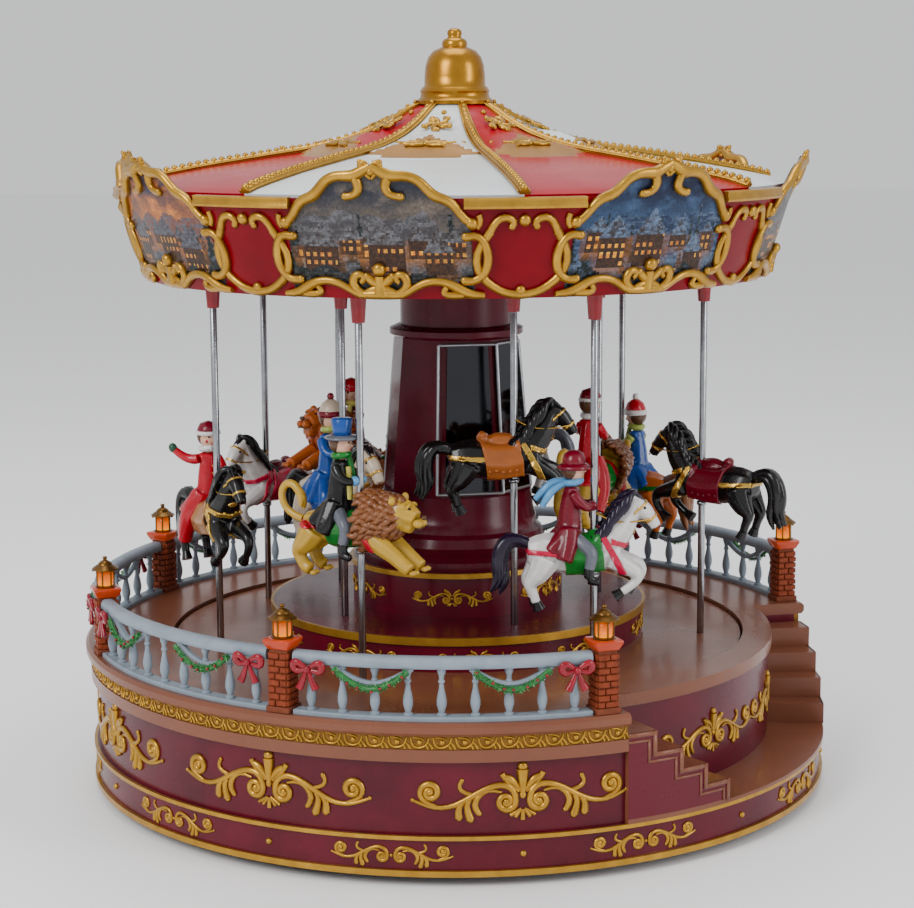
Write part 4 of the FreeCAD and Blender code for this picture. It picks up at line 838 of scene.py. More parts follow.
def village(seed, hour):
    """A scene as a function of place: clouds, ridges, firs, houses with lit windows, snow and a pond."""
    brush = random.Random(seed)
    high, low, snow = {"dusk": ((0.030, 0.034, 0.050), (0.150, 0.115, 0.085), (0.150, 0.150, 0.165)),
                       "night": ((0.004, 0.010, 0.045), (0.045, 0.095, 0.190), (0.130, 0.190, 0.300)),
                       "sunset": ((0.035, 0.030, 0.055), (0.620, 0.190, 0.025), (0.110, 0.115, 0.150))}[hour]
    houses = []
    for foot, size, count in ((15.0, 0.72, 5), (8.5, 1.15, 3)):
        for k in range(count):
            x = -31 + 62 * (k + 0.5) / count + brush.uniform(-3.5, 3.5)
            houses.append((x, foot + brush.uniform(-1, 1.5), size * brush.uniform(3.8, 6.0),
                           size * brush.uniform(5.0, 10.0), size * brush.uniform(5.0, 9.0),
                           brush.uniform(0.5, 1.2)))
    firs = [(brush.uniform(-33, 33), brush.uniform(6, 15), brush.uniform(1.6, 3.8),
             brush.uniform(8, 19)) for _ in range(13)]
    pond = brush.uniform(-16, 16)

    def cloud(x, z, size):
        return noise.fractal(Vector((x / size, z / size * 1.7, seed * 3.1)), 0.9, 2.1, 4)

    def colour_at(x, z):
        dab = brush.uniform(-1, 1)
        shade = mixed(low, high, (z - 17) / 22 + 0.35 * cloud(x, z, 14))
        shade = mixed(shade, [2.2 * c + 0.01 for c in low], 0.5 * cloud(x + 40, z, 9))
        for depth, foot in ((0.0, 27.0), (1.0, 20.5)):
            ridge = foot + 5.0 * cloud(x * 1.2 + 90 * depth, 0, 17)
            if z < ridge:
                shade = mixed(mixed(high, low, 0.25 + 0.2 * depth), snow, 0.30 + 0.9 * cloud(x, z * 2,
                            5) + 0.15 * dab - 0.03 * (ridge - z))
        if z < 14 + 2.5 * cloud(x, 3, 12):
            shade = mixed([0.35 * c for c in snow], snow, 0.45 + 0.8 * cloud(x, z * 2, 6) + 0.2 * dab)
        for fx, fz, half, tall in firs:
            share = (z - fz) / tall
            if 0 <= share < 1 and abs(x - fx) < half * (1 - share) * (0.7 + 0.3 * math.sin(share * 34)):
                shade = mixed((0.004, 0.012, 0.010), [0.8 * c for c in snow],
                              0.7 * math.sin(share * 34 + 1) * share + 0.12 * dab)
        for hx, hz, half, wall, roof, warm in houses:
            across, up = x - hx, z - hz
            if abs(across) < half and 0 <= up < wall:
                shade = [0.050 + 0.02 * dab, 0.022 + 0.008 * dab, 0.012]
                lit = math.sin(17 * int(up / 3.2) + 31 * int((across + half) / 2.7) + 7 * hx) > -0.35
                if lit and 0.9 < up % 3.2 < 2.5 and abs((across + half) % 2.7 - 1.35) < 0.62:
                    shade = [0.95 * warm, (0.36 + 0.12 * dab) * warm, 0.03]
            elif 0 <= up - wall < roof and abs(across) < (half + 1.0) * (1 - (up - wall) / roof):
                shade = mixed((0.040, 0.026, 0.024), snow, 0.55 + 0.9 * cloud(x * 2, z * 2, 4) + 0.2 * dab)
            elif -3.5 < up < 0 and abs(across) < half + 1.5:
                shade = mixed(shade, (0.42, 0.15, 0.018), 0.6 * (1 + up / 3.5) * warm)
            elif abs(across) < half + 2.5 and -1 < up < wall:
                shade = mixed(shade, (0.25, 0.085, 0.012), 0.35 * warm)
        if z < 8.5 and ((x - pond) / 12) ** 2 + ((z - 6.0) / 2.4) ** 2 < 1:
            shade = mixed(mixed(high, low, 0.5), (0.50, 0.24, 0.05), 0.35 + 0.5 * math.sin(x * 1.7) + 0.2 * dab)
        if z < 7.0 + 4.0 * cloud(x, 7, 9) + abs(x) * 0.08:
            shade = mixed((0.006, 0.010, 0.009), [0.6 * c for c in snow], 0.15 + 0.7 * cloud(x * 3, z * 3, 4))
        return [max(0.0, min(1.0, 0.62 * c * (1 + 0.14 * dab))) for c in shade]

    return colour_at


def varnished_picture():
    """Painted colour under varnish, broken by fine dabs."""
    material, shader = shader_of("varnished_picture", Coat_Weight=0.12, Specular_IOR_Level=0.15,
                                 Coat_Roughness=0.12)
    paint = shader_node(material, "Attribute")
    paint.attribute_name = "paint"
    place = shader_node(material, "TexCoord").outputs["Object"]
    dabs = shader_node(material, "TexVoronoi", Scale=900.0)
    tone = shader_node(material, "MapRange", To_Min=0.75, To_Max=1.35)
    scale = shader_node(material, "VectorMath")
    scale.operation = "SCALE"
    rough = shader_node(material, "MapRange", To_Min=0.3, To_Max=0.5)
    relief = shader_node(material, "Bump", Strength=0.2, Distance=0.0002)
    dab = dabs.outputs["Distance"]
    joined(material, (place, dabs.inputs["Vector"]), (dab, tone.inputs["Value"]), (paint.outputs["Color"],
                scale.inputs[0]),
           (tone.outputs["Result"], scale.inputs["Scale"]), (scale.outputs["Vector"],
                       shader.inputs["Base Color"]),
           (dab, rough.inputs["Value"]), (rough.outputs["Result"], shader.inputs["Roughness"]),
           (dab, relief.inputs["Height"]),
           (relief.outputs["Normal"], shader.inputs["Normal"]))
    return material


picture_paint = varnished_picture()
pictures = bmesh.new()
paint_layer = pictures.loops.layers.float_color.new("paint")
for number, angle in enumerate(large_angles):
    first_face = len(pictures.faces)
    panel = bmesh.new()
    bmesh.ops.create_grid(panel, x_segments=96, y_segments=66, size=0.5)
    bmesh.ops.scale(panel, vec=(2 * panel_half, 47.0, 1), verts=panel.verts)
    bmesh.ops.rotate(panel, cent=(0, 0, 0), matrix=Matrix.Rotation(math.pi / 2, 3, "X"), verts=panel.verts)
    bmesh.ops.translate(panel, vec=(0, 0, 23.5), verts=panel.verts)
    middles = [(f, f.calc_center_median()) for f in panel.faces]
    spare = [f for f, middle in middles if not sill_height(middle.x) < middle.z < arch_height(middle.x)]
    bmesh.ops.delete(panel, geom=spare, context="FACES")
    panel_mesh = baked(panel, "panel")
    scene_colour = village(number + 4, ("dusk", "night", "dusk", "sunset", "night", "dusk", "night",
                                        "sunset")[number])
    colours = [scene_colour(face.center.x, face.center.z) for face in panel_mesh.polygons]
    wrapped(pictures, panel_mesh, lambda z: band_radius(z) + 0.25, angle, band_bottom)
    pictures.faces.ensure_lookup_table()
    for face, colour in zip(pictures.faces[first_face:], colours):
        for loop in face.loops:
            loop[paint_layer] = (*colour, 1)
bmesh.ops.recalc_face_normals(pictures, faces=pictures.faces)
picture_piece = piece_from(pictures, "picture_panels_painted", [picture_paint], "rotor",
                           ["picture_panels"])
board = picture_piece.modifiers.new("board", "SOLIDIFY")
board.thickness = 0.0012
board.offset = -1

# ---------------------------------------------------------------- roof
# Eight pressed plastic leaves, red and white in turn: steep by the finial, breaking at a
# pointed step with a gold-brown top, then bowing gently down to the gilt edge.

roof_line = [(13.6, 272.9), (18.2, 270.6), (22.3, 267.8), (29.0, 264.0), (36.8, 260.6), (45.0, 258.0),
             (52.2, 256.2), (62.0, 254.4), (72.9, 252.9),
             (86.0, 250.9), (100.8, 248.6), (112.0, 246.5), (119.4, 245.1), (127.0, 243.5), (131.6, 242.0)]


def roof_height(reach):
    for (ra, za), (rb, zb) in zip(roof_line[:-1], roof_line[1:]):
        if ra <= reach <= rb:
            return za + (zb - za) * (reach - ra) / (rb - ra)
    return roof_line[-1][1] if reach > roof_line[-1][0] else roof_line[0][1]


leaf_red = painted("roof_red", (0.38, 0.0008, 0.0120), (0.29, 0.0006, 0.0090), 0.28, grain=30, coat=0.04,
                   sheen=0.14)
leaf_white = painted("roof_white", (0.66, 0.70, 0.70), (0.54, 0.59, 0.60), 0.32, grain=30, coat=0.2)
# The gold-brown step is painted darker in its hollows: painted shade.
step_tan = painted("step_gold_brown", (0.40, 0.20, 0.045), (0.26, 0.115, 0.022), 0.28, metal=0.3, grain=60,
                   hollow_shade=(0.20, 0.08, 0.02))
roof = bmesh.new()
step_inner, step_outer = 44.0, 66.0


def step_edge(turn, inner):
    """Where the raised step begins and ends across a leaf, turn running -1..1 between the ribs."""
    bow = 1 - abs(turn)
    edge = step_outer - 4.0 * abs(turn) ** 1.5
    return edge - (step_outer - step_inner) * bow if inner else edge


def leaf_point(across, along):
    """A point of one leaf as (turn, reach, height): across runs -1..1, along 0..1 outwards."""
    reach = roof_line[0][0] + (roof_line[-1][0] - roof_line[0][0]) * along
    bow = 1 - across * across
    outer, inner = step_edge(across, False), step_edge(across, True)
    z = roof_height(reach)
    if reach <= inner:
        z += 3.2 * bow * ((reach - roof_line[0][0]) / (inner - roof_line[0][0])) ** 1.5
    elif reach < outer:
        z += 3.2 * bow - 4.6 * bow * (reach - inner) / (outer - inner)
    else:
        z -= 1.4 * bow * max(0.0, 1 - (reach - outer) / 50.0)
    return 22.5 * across, reach, z


for k, rib_angle in enumerate(small_angles):
    leaf = bmesh.new()
    bmesh.ops.create_grid(leaf, x_segments=32, y_segments=58, size=1.0)
    for face in leaf.faces:
        middle = face.calc_center_median()
        reach = leaf_point(middle.x, (middle.y + 1) / 2)[1]
        on_step = step_edge(middle.x, True) < reach < step_edge(middle.x, False) - 0.6
        face.material_index = 2 if on_step else k % 2
    for vertex in leaf.verts:
        turn, reach, z = leaf_point(vertex.co.x, (vertex.co.y + 1) / 2)
        turn = math.radians(rib_angle + 22.5 + turn)
        vertex.co = Vector((reach * math.sin(turn), -reach * math.cos(turn), z)) * mm
    add_mesh(roof, baked(leaf, "leaf"))
bmesh.ops.remove_doubles(roof, verts=roof.verts, dist=0.00001)
bmesh.ops.recalc_face_normals(roof, faces=roof.faces)
if sum(face.normal.z for face in roof.faces) < 0:
    bmesh.ops.reverse_faces(roof, faces=roof.faces)
roof_piece = piece_from(roof, "roof_leaves", [leaf_red, leaf_white, step_tan], "rotor",
                        ["roof"])
sheet_wall = roof_piece.modifiers.new("sheet_wall", "SOLIDIFY")
sheet_wall.thickness = 0.0014
sheet_wall.offset = -1
creased(roof_piece, 28)

# ---------------------------------------------------------------- roof ribs and finial
# Each joint between leaves is covered by a flat gilt strip carrying a row of round beads
# between two fine cords; small gilt castings decorate every leaf.

ribs = bmesh.new()
for angle in small_angles:
    first = len(ribs.verts)
    line = [(0, -r, z + 0.5) for r, z in roof_line]
    add_mesh(ribs, stroked([(line, [1.0] + [1.9] * (len(line) - 1))], 1, 2),
             lambda p: Vector((p.x, p.y, p.z)) * mm)
    for side in (-1, 1):
        cord = [(side * (1.2 + 0.9 * min(1, n / 4)), -r, z + 0.9) for n, (r, z) in enumerate(roof_line)]
        add_mesh(ribs, stroked([(cord, [0.42] * len(cord))], 0, 2), lambda p: Vector((p.x, p.y, p.z)) * mm)
    reach = 16.0
    while reach < 131:
        bead = 1.05 + 0.55 * (reach - 16) / 115
        bmesh.ops.create_icosphere(ribs, subdivisions=1, radius=bead * mm,
                                   matrix=Matrix.Translation(Vector((0, -reach,
                                               roof_height(reach) + 2.1)) * mm))
        reach += 3.1
    turned_out(ribs, first, angle)
piece_from(ribs, "beaded_roof_ribs", [gold], "rotor", ["roof_ribs"])

spray = []
for turn in range(5):
    a = math.radians(90 + 72 * turn)
    b = math.radians(90 + 72 * turn + 26)
    spray.append(([(0, 0), (2.4 * math.cos(a), 2.4 * math.sin(a)), (4.4 * math.cos(b), 4.4 * math.sin(b)),
                   (5.2 * math.cos(b + 0.5), 5.2 * math.sin(b + 0.5))], [0.8, 1.1, 1.2, 0.8]))
star_cluster = casting(spray, [(0, 0, 1.4)] + [(5.4 * math.cos(math.radians(126 + 72 * t)),
                                                5.4 * math.sin(math.radians(126 + 72 * t)),
                                                1.1) for t in range(5)], 1.0, 0.8)
acanthus = casting(mirrored([([(0, -1.0), (2.6, 1.4), (5.4, 1.2), (8.2, -0.6), (10.4, 0.8)],
                              [1.3, 1.3, 1.2, 1.0, 0.7]),
                             ([(0.4, 0.6), (2.2, 3.0), (4.6, 3.4), (5.0, 1.8)], [1.0, 1.0, 1.0, 0.8]),
                             ([(1.0, -1.6), (3.6, -2.6), (6.2, -2.2), (7.6, -3.4)], [0.9, 1.1, 0.9, 0.7]),
                             ([(0, 0), (0.6, 2.8), (0, 5.0)], [1.2, 1.0, 1.0])]),
                   [(0, 0, 1.7)] + [(s * 10.6, 1.0, 0.9) for s in (-1, 1)], 1.0, 0.8)


def on_roof(shape, flat, angle, reach, lift):
    """Lay a relief on the roof's slope, its top towards the finial."""

    def place(point):
        r = reach - point.z
        out = Vector((point.x, -r, roof_height(r) + lift - point.y)) * mm
        return Matrix.Rotation(math.radians(angle), 3, "Z") @ out

    add_mesh(shape, flat.copy(), place)


leaf_castings = bmesh.new()
for angle in small_angles:
    on_roof(leaf_castings, star_cluster, angle + 22.5, 32.0, 2.6)
    on_roof(leaf_castings, acanthus, angle + 22.5, 52.0, 2.0)
    for reach, side in ((20.5, 0.0), (47.0, -16.0), (47.0, 16.0)):
        turn = math.radians(angle + 22.5 + side)
        bmesh.ops.create_icosphere(leaf_castings, subdivisions=2, radius=1.15 * mm,
                                   matrix=Matrix.Translation(Vector((reach * math.sin(turn),
                                               -reach * math.cos(turn), roof_height(reach) + 0.5)) * mm))
piece_from(leaf_castings, "roof_leaf_castings", [gold], "rotor")

bell_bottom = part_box("finial")[0][2] / mm
bell = bmesh.new()
add_turned(bell, [(0, bell_bottom), (15.2, bell_bottom), (15.4, bell_bottom + 1.4), (13.9, bell_bottom + 2.6),
                  (13.6, bell_bottom + 4.2), (14.0, bell_bottom + 4.9),
                  (13.2, bell_bottom + 6.4), (12.2, bell_bottom + 7.2), (12.1, bell_bottom + 11.0),
                  (11.7, bell_bottom + 15.0), (10.6, bell_bottom + 18.4),
                  (8.6, bell_bottom + 20.8), (6.0, bell_bottom + 22.0), (4.9, bell_bottom + 22.5),
                  (5.1, bell_bottom + 23.3), (4.9, bell_bottom + 24.6),
                  (4.2, bell_bottom + 25.4), (2.9, bell_bottom + 25.9), (2.6, bell_bottom + 26.6),
                  (3.0, bell_bottom + 27.6), (2.7, bell_bottom + 28.8),
                  (1.6, bell_bottom + 29.6), (0, bell_bottom + 29.8)], steps=48)
bell_gold = painted("bell_gold", (0.44, 0.215, 0.020), (0.25, 0.105, 0.010), 0.27, metal=0.82, grain=70,
                    bump=0.05)
bell_piece = piece_from(bell, "bell_finial", [bell_gold], "rotor", ["finial"])
creased(bell_piece, 50)

# ---------------------------------------------------------------- stair strings
# A brown moulded string steps down the outer side of each flight, with a thinner one inside it.

step_rise, step_count = 8.0, 5
tread_angle = 4.42
string_radius = 150.4
strings = bmesh.new()


def string_line(start, way, drop, back):
    """The stepped line down one flight as (angle, height) points."""
    line = []
    for step in range(step_count - 1):
        z = deck_top - step_rise * (step + 1) - drop
        line += [(start + way * (tread_angle * step - (back if step else 0)), z),
                 (start + way * (tread_angle * (step + 1) - back), z)]
    line.append((start + way * (tread_angle * (step_count - 1) - back),
                 deck_top - step_rise * step_count + 0.6))
    return line


for start, way in ((stair_start, 1), (stair_end, -1)):
    for drop, back, width in ((0.8, 0.32, 1.6), (3.2, 1.25, 0.8)):
        line = string_line(start, way, drop, back)
        for (a0, z0), (a1, z1) in zip(line[:-1], line[1:]):
            if abs(z1 - z0) < 0.01:
                low, sweep, half = min(a0, a1), abs(a1 - a0), width / 2
            else:
                sweep = math.degrees(width / string_radius)
                low, half = a0 - sweep / 2, abs(z1 - z0) / 2 + width / 2
            z = (z0 + z1) / 2
            profile = [(string_radius - 0.4, z - half), (string_radius + 0.5, z - half), (string_radius + 0.5,
                        z + half), (string_radius - 0.4, z + half)]
            add_moulding(strings, profile, low, sweep, 3)
piece_from(strings, "stair_strings", [brown], "base")

# ---------------------------------------------------------------- tower mirrors
# Smoked mirror strips on four faces of the tower, each held in a thin silver-painted frame.

smoked_mirror = painted("smoked_mirror", (0.055, 0.056, 0.062), (0.040, 0.041, 0.046), 0.07, metal=1.0,
                        grain=12, bump=0.01)
# The silver frame is painted darker in its hollows: painted shade.
silver = painted("silver_frame", (0.50, 0.51, 0.53), (0.34, 0.35, 0.37), 0.3, metal=0.7, grain=200,
                 hollow_shade=(0.10, 0.10, 0.11))
finish_node("tower_mirrors", smoked_mirror)
mirror_frames = bmesh.new()
mirror_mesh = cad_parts["tower_mirrors"].data
for k in (0, 1, 4, 5):
    angle = 10.4 + 45.0 * k
    face_on = Matrix.Rotation(math.radians(-angle), 3, "Z")
    seen = [face_on @ v.co / mm for v in mirror_mesh.vertices]
    seen = [p for p in seen if p.y < -20 and abs(p.x) < 14]
    low, high = min(p.z for p in seen), max(p.z for p in seen)
    foot = max((p for p in seen if p.z < low + 0.5), key=lambda p: (p.x, -p.y))
    head = max((p for p in seen if p.z > high - 0.5), key=lambda p: (p.x, -p.y))
    foot_y = min(p.y for p in seen if p.z < low + 0.5) - 0.1
    head_y = min(p.y for p in seen if p.z > high - 0.5) - 0.1
    corners = [(-foot.x, foot_y, low), (foot.x, foot_y, low), (head.x, head_y, high), (-head.x, head_y, high)]
    first = len(mirror_frames.verts)
    for a, b in zip(corners, corners[1:] + corners[:1]):
        add_mesh(mirror_frames, stroked([([a, tuple((Vector(a) + Vector(b)) / 2), b], [0.62] * 3)], 0, 2),
                 lambda p: p * mm)
    turned_out(mirror_frames, first, angle)
piece_from(mirror_frames, "mirror_frames", [silver], "rotor")

# ---------------------------------------------------------------- poles
# Bright drawn steel rods, one to each figure, that slide up and down through the turntable
# and through a red collar under the canopy.

pole_steel = painted("pole_steel", (0.42, 0.43, 0.45), (0.26, 0.27, 0.29), 0.22, metal=1.0, grain=220,
                     bump=0.05)
sleeve_red = painted("sleeve_red", (0.30, 0.004, 0.012), (0.19, 0.002, 0.008), 0.25, grain=200, coat=0.3)
finish_node("pole_sleeves", sleeve_red)
outer_ring, inner_ring = 100.0, 58.5
outer_places = [("outer_horse_1", 121.0, 60.0), ("outer_ridden_horse_2", 107.0, -25.0), ("outer_ridden_lion_3",
            118.0, -7.0),
                ("outer_ridden_horse_4", 110.5, 12.0), ("outer_horse_5", 109.0, -6.0), ("outer_lion_6", 111.0,
                            0.0), ("outer_ridden_horse_7", 105.5, 5.0)]
inner_places = [("inner_horse_1", 137.5, -14.0), ("inner_ridden_horse_2", 119.0, 0.0), ("inner_ridden_lion_3",
            129.0, -8.0),
                ("inner_horse_4", 126.0, 0.0), ("inner_ridden_lion_5", 120.0, -35.0)]
places = {}
for k, (name, height, turn) in enumerate(outer_places):
    places[name] = (outer_ring, 82.0 - 360.0 / 7 * k, height, turn)
for k, (name, height, turn) in enumerate(inner_places):
    places[name] = (inner_ring, 22.0 - 72.0 * k, height, turn)
for name, (ring, angle, height, turn) in places.items():
    low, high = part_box(name)
    pole = bmesh.new()
    foot, top = low[2] / mm, high[2] / mm
    add_turned(pole, [(0, foot), (1.1, foot), (1.4, foot + 0.4), (1.4, top - 0.4), (1.1, top), (0, top)],
               (0, -ring, 0), 20)
    add_turned(pole, [(1.4, height - 9.2), (2.0, height - 9.0), (2.0, height - 7.6), (1.4, height - 7.4)],
               (0, -ring, 0), 16)
    turned_out(pole, 0, angle)
    piece_from(pole, name + "_pole", [pole_steel], name)

# ---------------------------------------------------------------- horses
# Resin horses cast in one piece and hand painted in gloss enamel: a prancing body, a mane and tail
# of separate combed locks, and harness straps and saddle cloths standing proud of the coat.

enamels = {}
enamel_colours = {
    "black": (0.006, 0.0055, 0.006), "white": (0.74, 0.72, 0.70), "cream": (0.60, 0.48, 0.36),
                  "chestnut": (0.56, 0.125, 0.014), "lion": (0.56, 0.33, 0.035),
    "mane_brown": (0.24, 0.085, 0.030), "curl_red": (0.40, 0.075, 0.014), "violet": (0.012, 0.006, 0.022),
                  "red": (0.50, 0.003, 0.018), "rose": (0.55, 0.006, 0.050),
    "wine": (0.17, 0.002, 0.014), "green": (0.006, 0.17, 0.020), "dark_green": (0.012, 0.075, 0.035),
                  "blue": (0.008, 0.065, 0.30), "sky": (0.10, 0.32, 0.60),
    "skin": (0.72, 0.40, 0.27), "gilt": (0.70, 0.42, 0.07), "grey": (0.13, 0.14, 0.17), "saddle": (0.42, 0.115,
                0.022), "hair": (0.10, 0.045, 0.02),
    "straw": (0.70, 0.60, 0.12), "tan": (0.42, 0.20, 0.08), "lime": (0.34, 0.42, 0.08)}


def enamel(name):
    """Hand-brushed gloss enamel: slight colour drift, painted shade darkening the creases, a wet-looking coat.
    """
    if name not in enamels:
        colour = enamel_colours[name]
        dark = tuple(c * 0.62 for c in colour)
        # Creases are painted at under a third of the colour: painted shade.
        painted_hollow_shade = tuple(c * 0.30 for c in colour)
        metal = 0.8 if name == "gilt" else 0.0
        enamels[name] = painted("enamel_" + name, colour, dark, 0.26, metal=metal, grain=320, bump=0.12,
                                coat=0.30, hollow_shade=painted_hollow_shade, spread=0.9)
    return enamels[name]


def fused(strokes, voxel=0.62):
    """Strokes melted into one smooth casting."""
    mesh = stroked(strokes, 2, 4)
    holder = bpy.data.objects.new("casting", mesh)
    bpy.context.scene.collection.objects.link(holder)
    melt = holder.modifiers.new("melt", "REMESH")
    melt.mode = "VOXEL"
    melt.voxel_size = voxel
    ease = holder.modifiers.new("ease", "SMOOTH")
    ease.factor = 0.5
    ease.iterations = 3
    result = bpy.data.meshes.new_from_object(holder.evaluated_get(bpy.context.evaluated_depsgraph_get()))
    bpy.data.objects.remove(holder)
    return result


def paint_index(palette, name):
    if name not in palette:
        palette.append(name)
    return palette.index(name)


def add_strap(shape, body, cuts, index, lift=0.05, thick=0.55):
    """A strap or cloth: the body's own skin between cutting planes, lifted and given a wall."""
    part = bmesh.new()
    part.from_mesh(body)
    for point, normal in cuts:
        bmesh.ops.bisect_plane(part, geom=part.verts[:] + part.edges[:] + part.faces[:], plane_co=point,
                               plane_no=normal, clear_outer=True)
    part.normal_update()
    raised = [(v, v.normal.copy()) for v in part.verts]
    for vertex, normal in raised:
        vertex.co += normal * (lift + thick)
    bmesh.ops.solidify(part, geom=part.faces[:], thickness=thick + lift + 0.2)
    bmesh.ops.recalc_face_normals(part, faces=part.faces)
    add_mesh(shape, baked(part, "strap"), None, index)


def band(point, normal, width):
    """Two cuts that leave a band of this width across a limb or the trunk."""
    normal = Vector(normal).normalized()
    point = Vector(point)
    return [(point + normal * width / 2, normal), (point - normal * width / 2, -normal)]


def both(strokes):
    return strokes + [([(x, -y, z) for x, y, z in points], radii) for points, radii in strokes]


def ball_at(shape, place, radius, index, size=(1, 1, 1), detail=2):
    first, first_face = len(shape.verts), len(shape.faces)
    bmesh.ops.create_icosphere(shape, subdivisions=detail, radius=radius)
    shape.verts.ensure_lookup_table()
    bmesh.ops.scale(shape, vec=size, verts=shape.verts[first:])
    bmesh.ops.translate(shape, vec=place, verts=shape.verts[first:])
    indexed(shape, first_face, index)


horse_strokes = [
    ([(-25, 0, 1.5), (-19, 0, 1.6), (-9, 0, -0.6), (1, 0, -0.4), (9, 0, 2.0)], [4.6, 7.8, 7.2, 7.6, 6.2]),
    ([(3, 0, 2.5), (9, 0, 7.5), (12.6, 0, 13.5), (14.6, 0, 18.6)], [7.0, 6.0, 4.5, 3.3]),
    ([(13.6, 0, 19.4), (18.2, 0, 17.4), (21.6, 0, 12.6), (23.6, 0, 9.6)], [3.0, 3.4, 2.5, 2.1]),
    ([(15.6, 0, 16.6), (18.6, 0, 14.0)], [2.8, 2.0])]
horse_pairs = [
    ([(14.2, 1.5, 20.5), (14.4, 1.9, 22.4), (14.8, 1.9, 24.0)], [0.8, 0.8, 0.15]),
    ([(-18.5, 3.6, -1), (-21.2, 4.5, -6.3), (-25.2, 4.7, -10.2), (-23.2, 4.7, -13.8), (-22.4, 4.7, -17.2)],
     [5.8, 4.6, 2.4, 1.8, 1.8])]
horse_fore = [
    ([(6.5, -3.4, -1.5), (12.0, -4.4, -4.8), (16.6, -4.6, -7.4), (14.4, -4.6, -11.4), (9.6, -4.6, -14.2)],
     [4.2, 3.3, 2.3, 1.7, 1.6]),
    ([(6.5, 3.4, -1.5), (13.0, 4.4, -3.8), (18.6, 4.6, -5.2), (19.4, 4.6, -9.8), (15.6, 4.6, -13.6)],
     [4.2, 3.3, 2.3, 1.7, 1.6])]
horse_body = fused(horse_strokes + both(horse_pairs) + horse_fore)
hooves = [([(10.0, -4.6, -14.0), (7.0, -4.6, -15.8)], [1.6, 2.4]), ([(16.0, 4.6, -13.2), (13.4, 4.6, -15.6)],
            [1.6, 2.4]),
          ([(-22.4, 4.7, -16.8), (-21.2, 4.7, -19.8)], [1.7, 2.4]),
          ([(-22.4, -4.7, -16.8), (-21.2, -4.7, -19.8)], [1.7, 2.4])]


def locks(paths, radii, spread, count, seed):
    """Combed hair: copies of one path, each shifted and bent a little."""
    comb = random.Random(seed)
    made = []
    for k in range(count):
        drift = Vector((comb.uniform(-spread, spread), comb.uniform(-spread, spread), comb.uniform(-spread,
                    spread)))
        for path in paths:
            points = []
            for n, place in enumerate(path):
                wave = Vector((comb.uniform(-0.4, 0.4), comb.uniform(-0.4, 0.4), comb.uniform(-0.4, 0.4)))
                points.append(tuple(Vector(place) + drift * (0.4 + n / len(path)) + wave))
            made.append((points, radii))
    return made


def horse_hair(seed):
    """Mane along the crest falling to both sides, forelock, and an arched tail."""
    comb = random.Random(seed)
    strands = []
    crest = [(15.0, 22.4), (13.6, 21.6), (11.8, 19.6), (10.2, 17.2), (8.6, 14.8), (7.2, 12.4), (5.6, 10.4),
             (3.8, 8.8), (2.0, 7.8)]
    for n, (x, z) in enumerate(crest):
        for side in (-1, 1):
            for repeat in range(2):
                dx, dz = comb.uniform(-0.7, 0.7), comb.uniform(-0.6, 0.6)
                strands.append(([(x + dx, side * 0.3, z + dz), (x - 1.9 + dx, side * 2.4, z + 0.3 + dz),
                                 (x - 3.4 + dx, side * 4.2, z - 2.4 + dz),
                                 (x - 4.0 + dx, side * 4.9, z - 5.4 + dz), (x - 5.4 + dx, side * 5.2,
                                             z - 7.6 + dz)], [1.1, 1.6, 1.55, 1.25, 0.35]))
    strands.append(([(14.6, 0, 22.6), (17.6, 0.6, 20.8), (19.2, 0.8, 17.6)], [1.0, 0.9, 0.3]))
    strands.append(([(14.6, 0, 22.6), (17.4, -0.7, 21.0), (19.6, -0.9, 18.4)], [1.0, 0.9, 0.3]))
    tail = [(-25, 0, 4.6), (-30.0, 0, 7.0), (-34.2, 0, 3.6), (-35.4, 0, -3.0), (-34.0, 0, -9.0),
            (-36.4, 0, -13.0)]
    return strands + locks([tail], [1.7, 2.2, 2.3, 2.1, 1.7, 0.5], 1.7, 11, seed + 1)


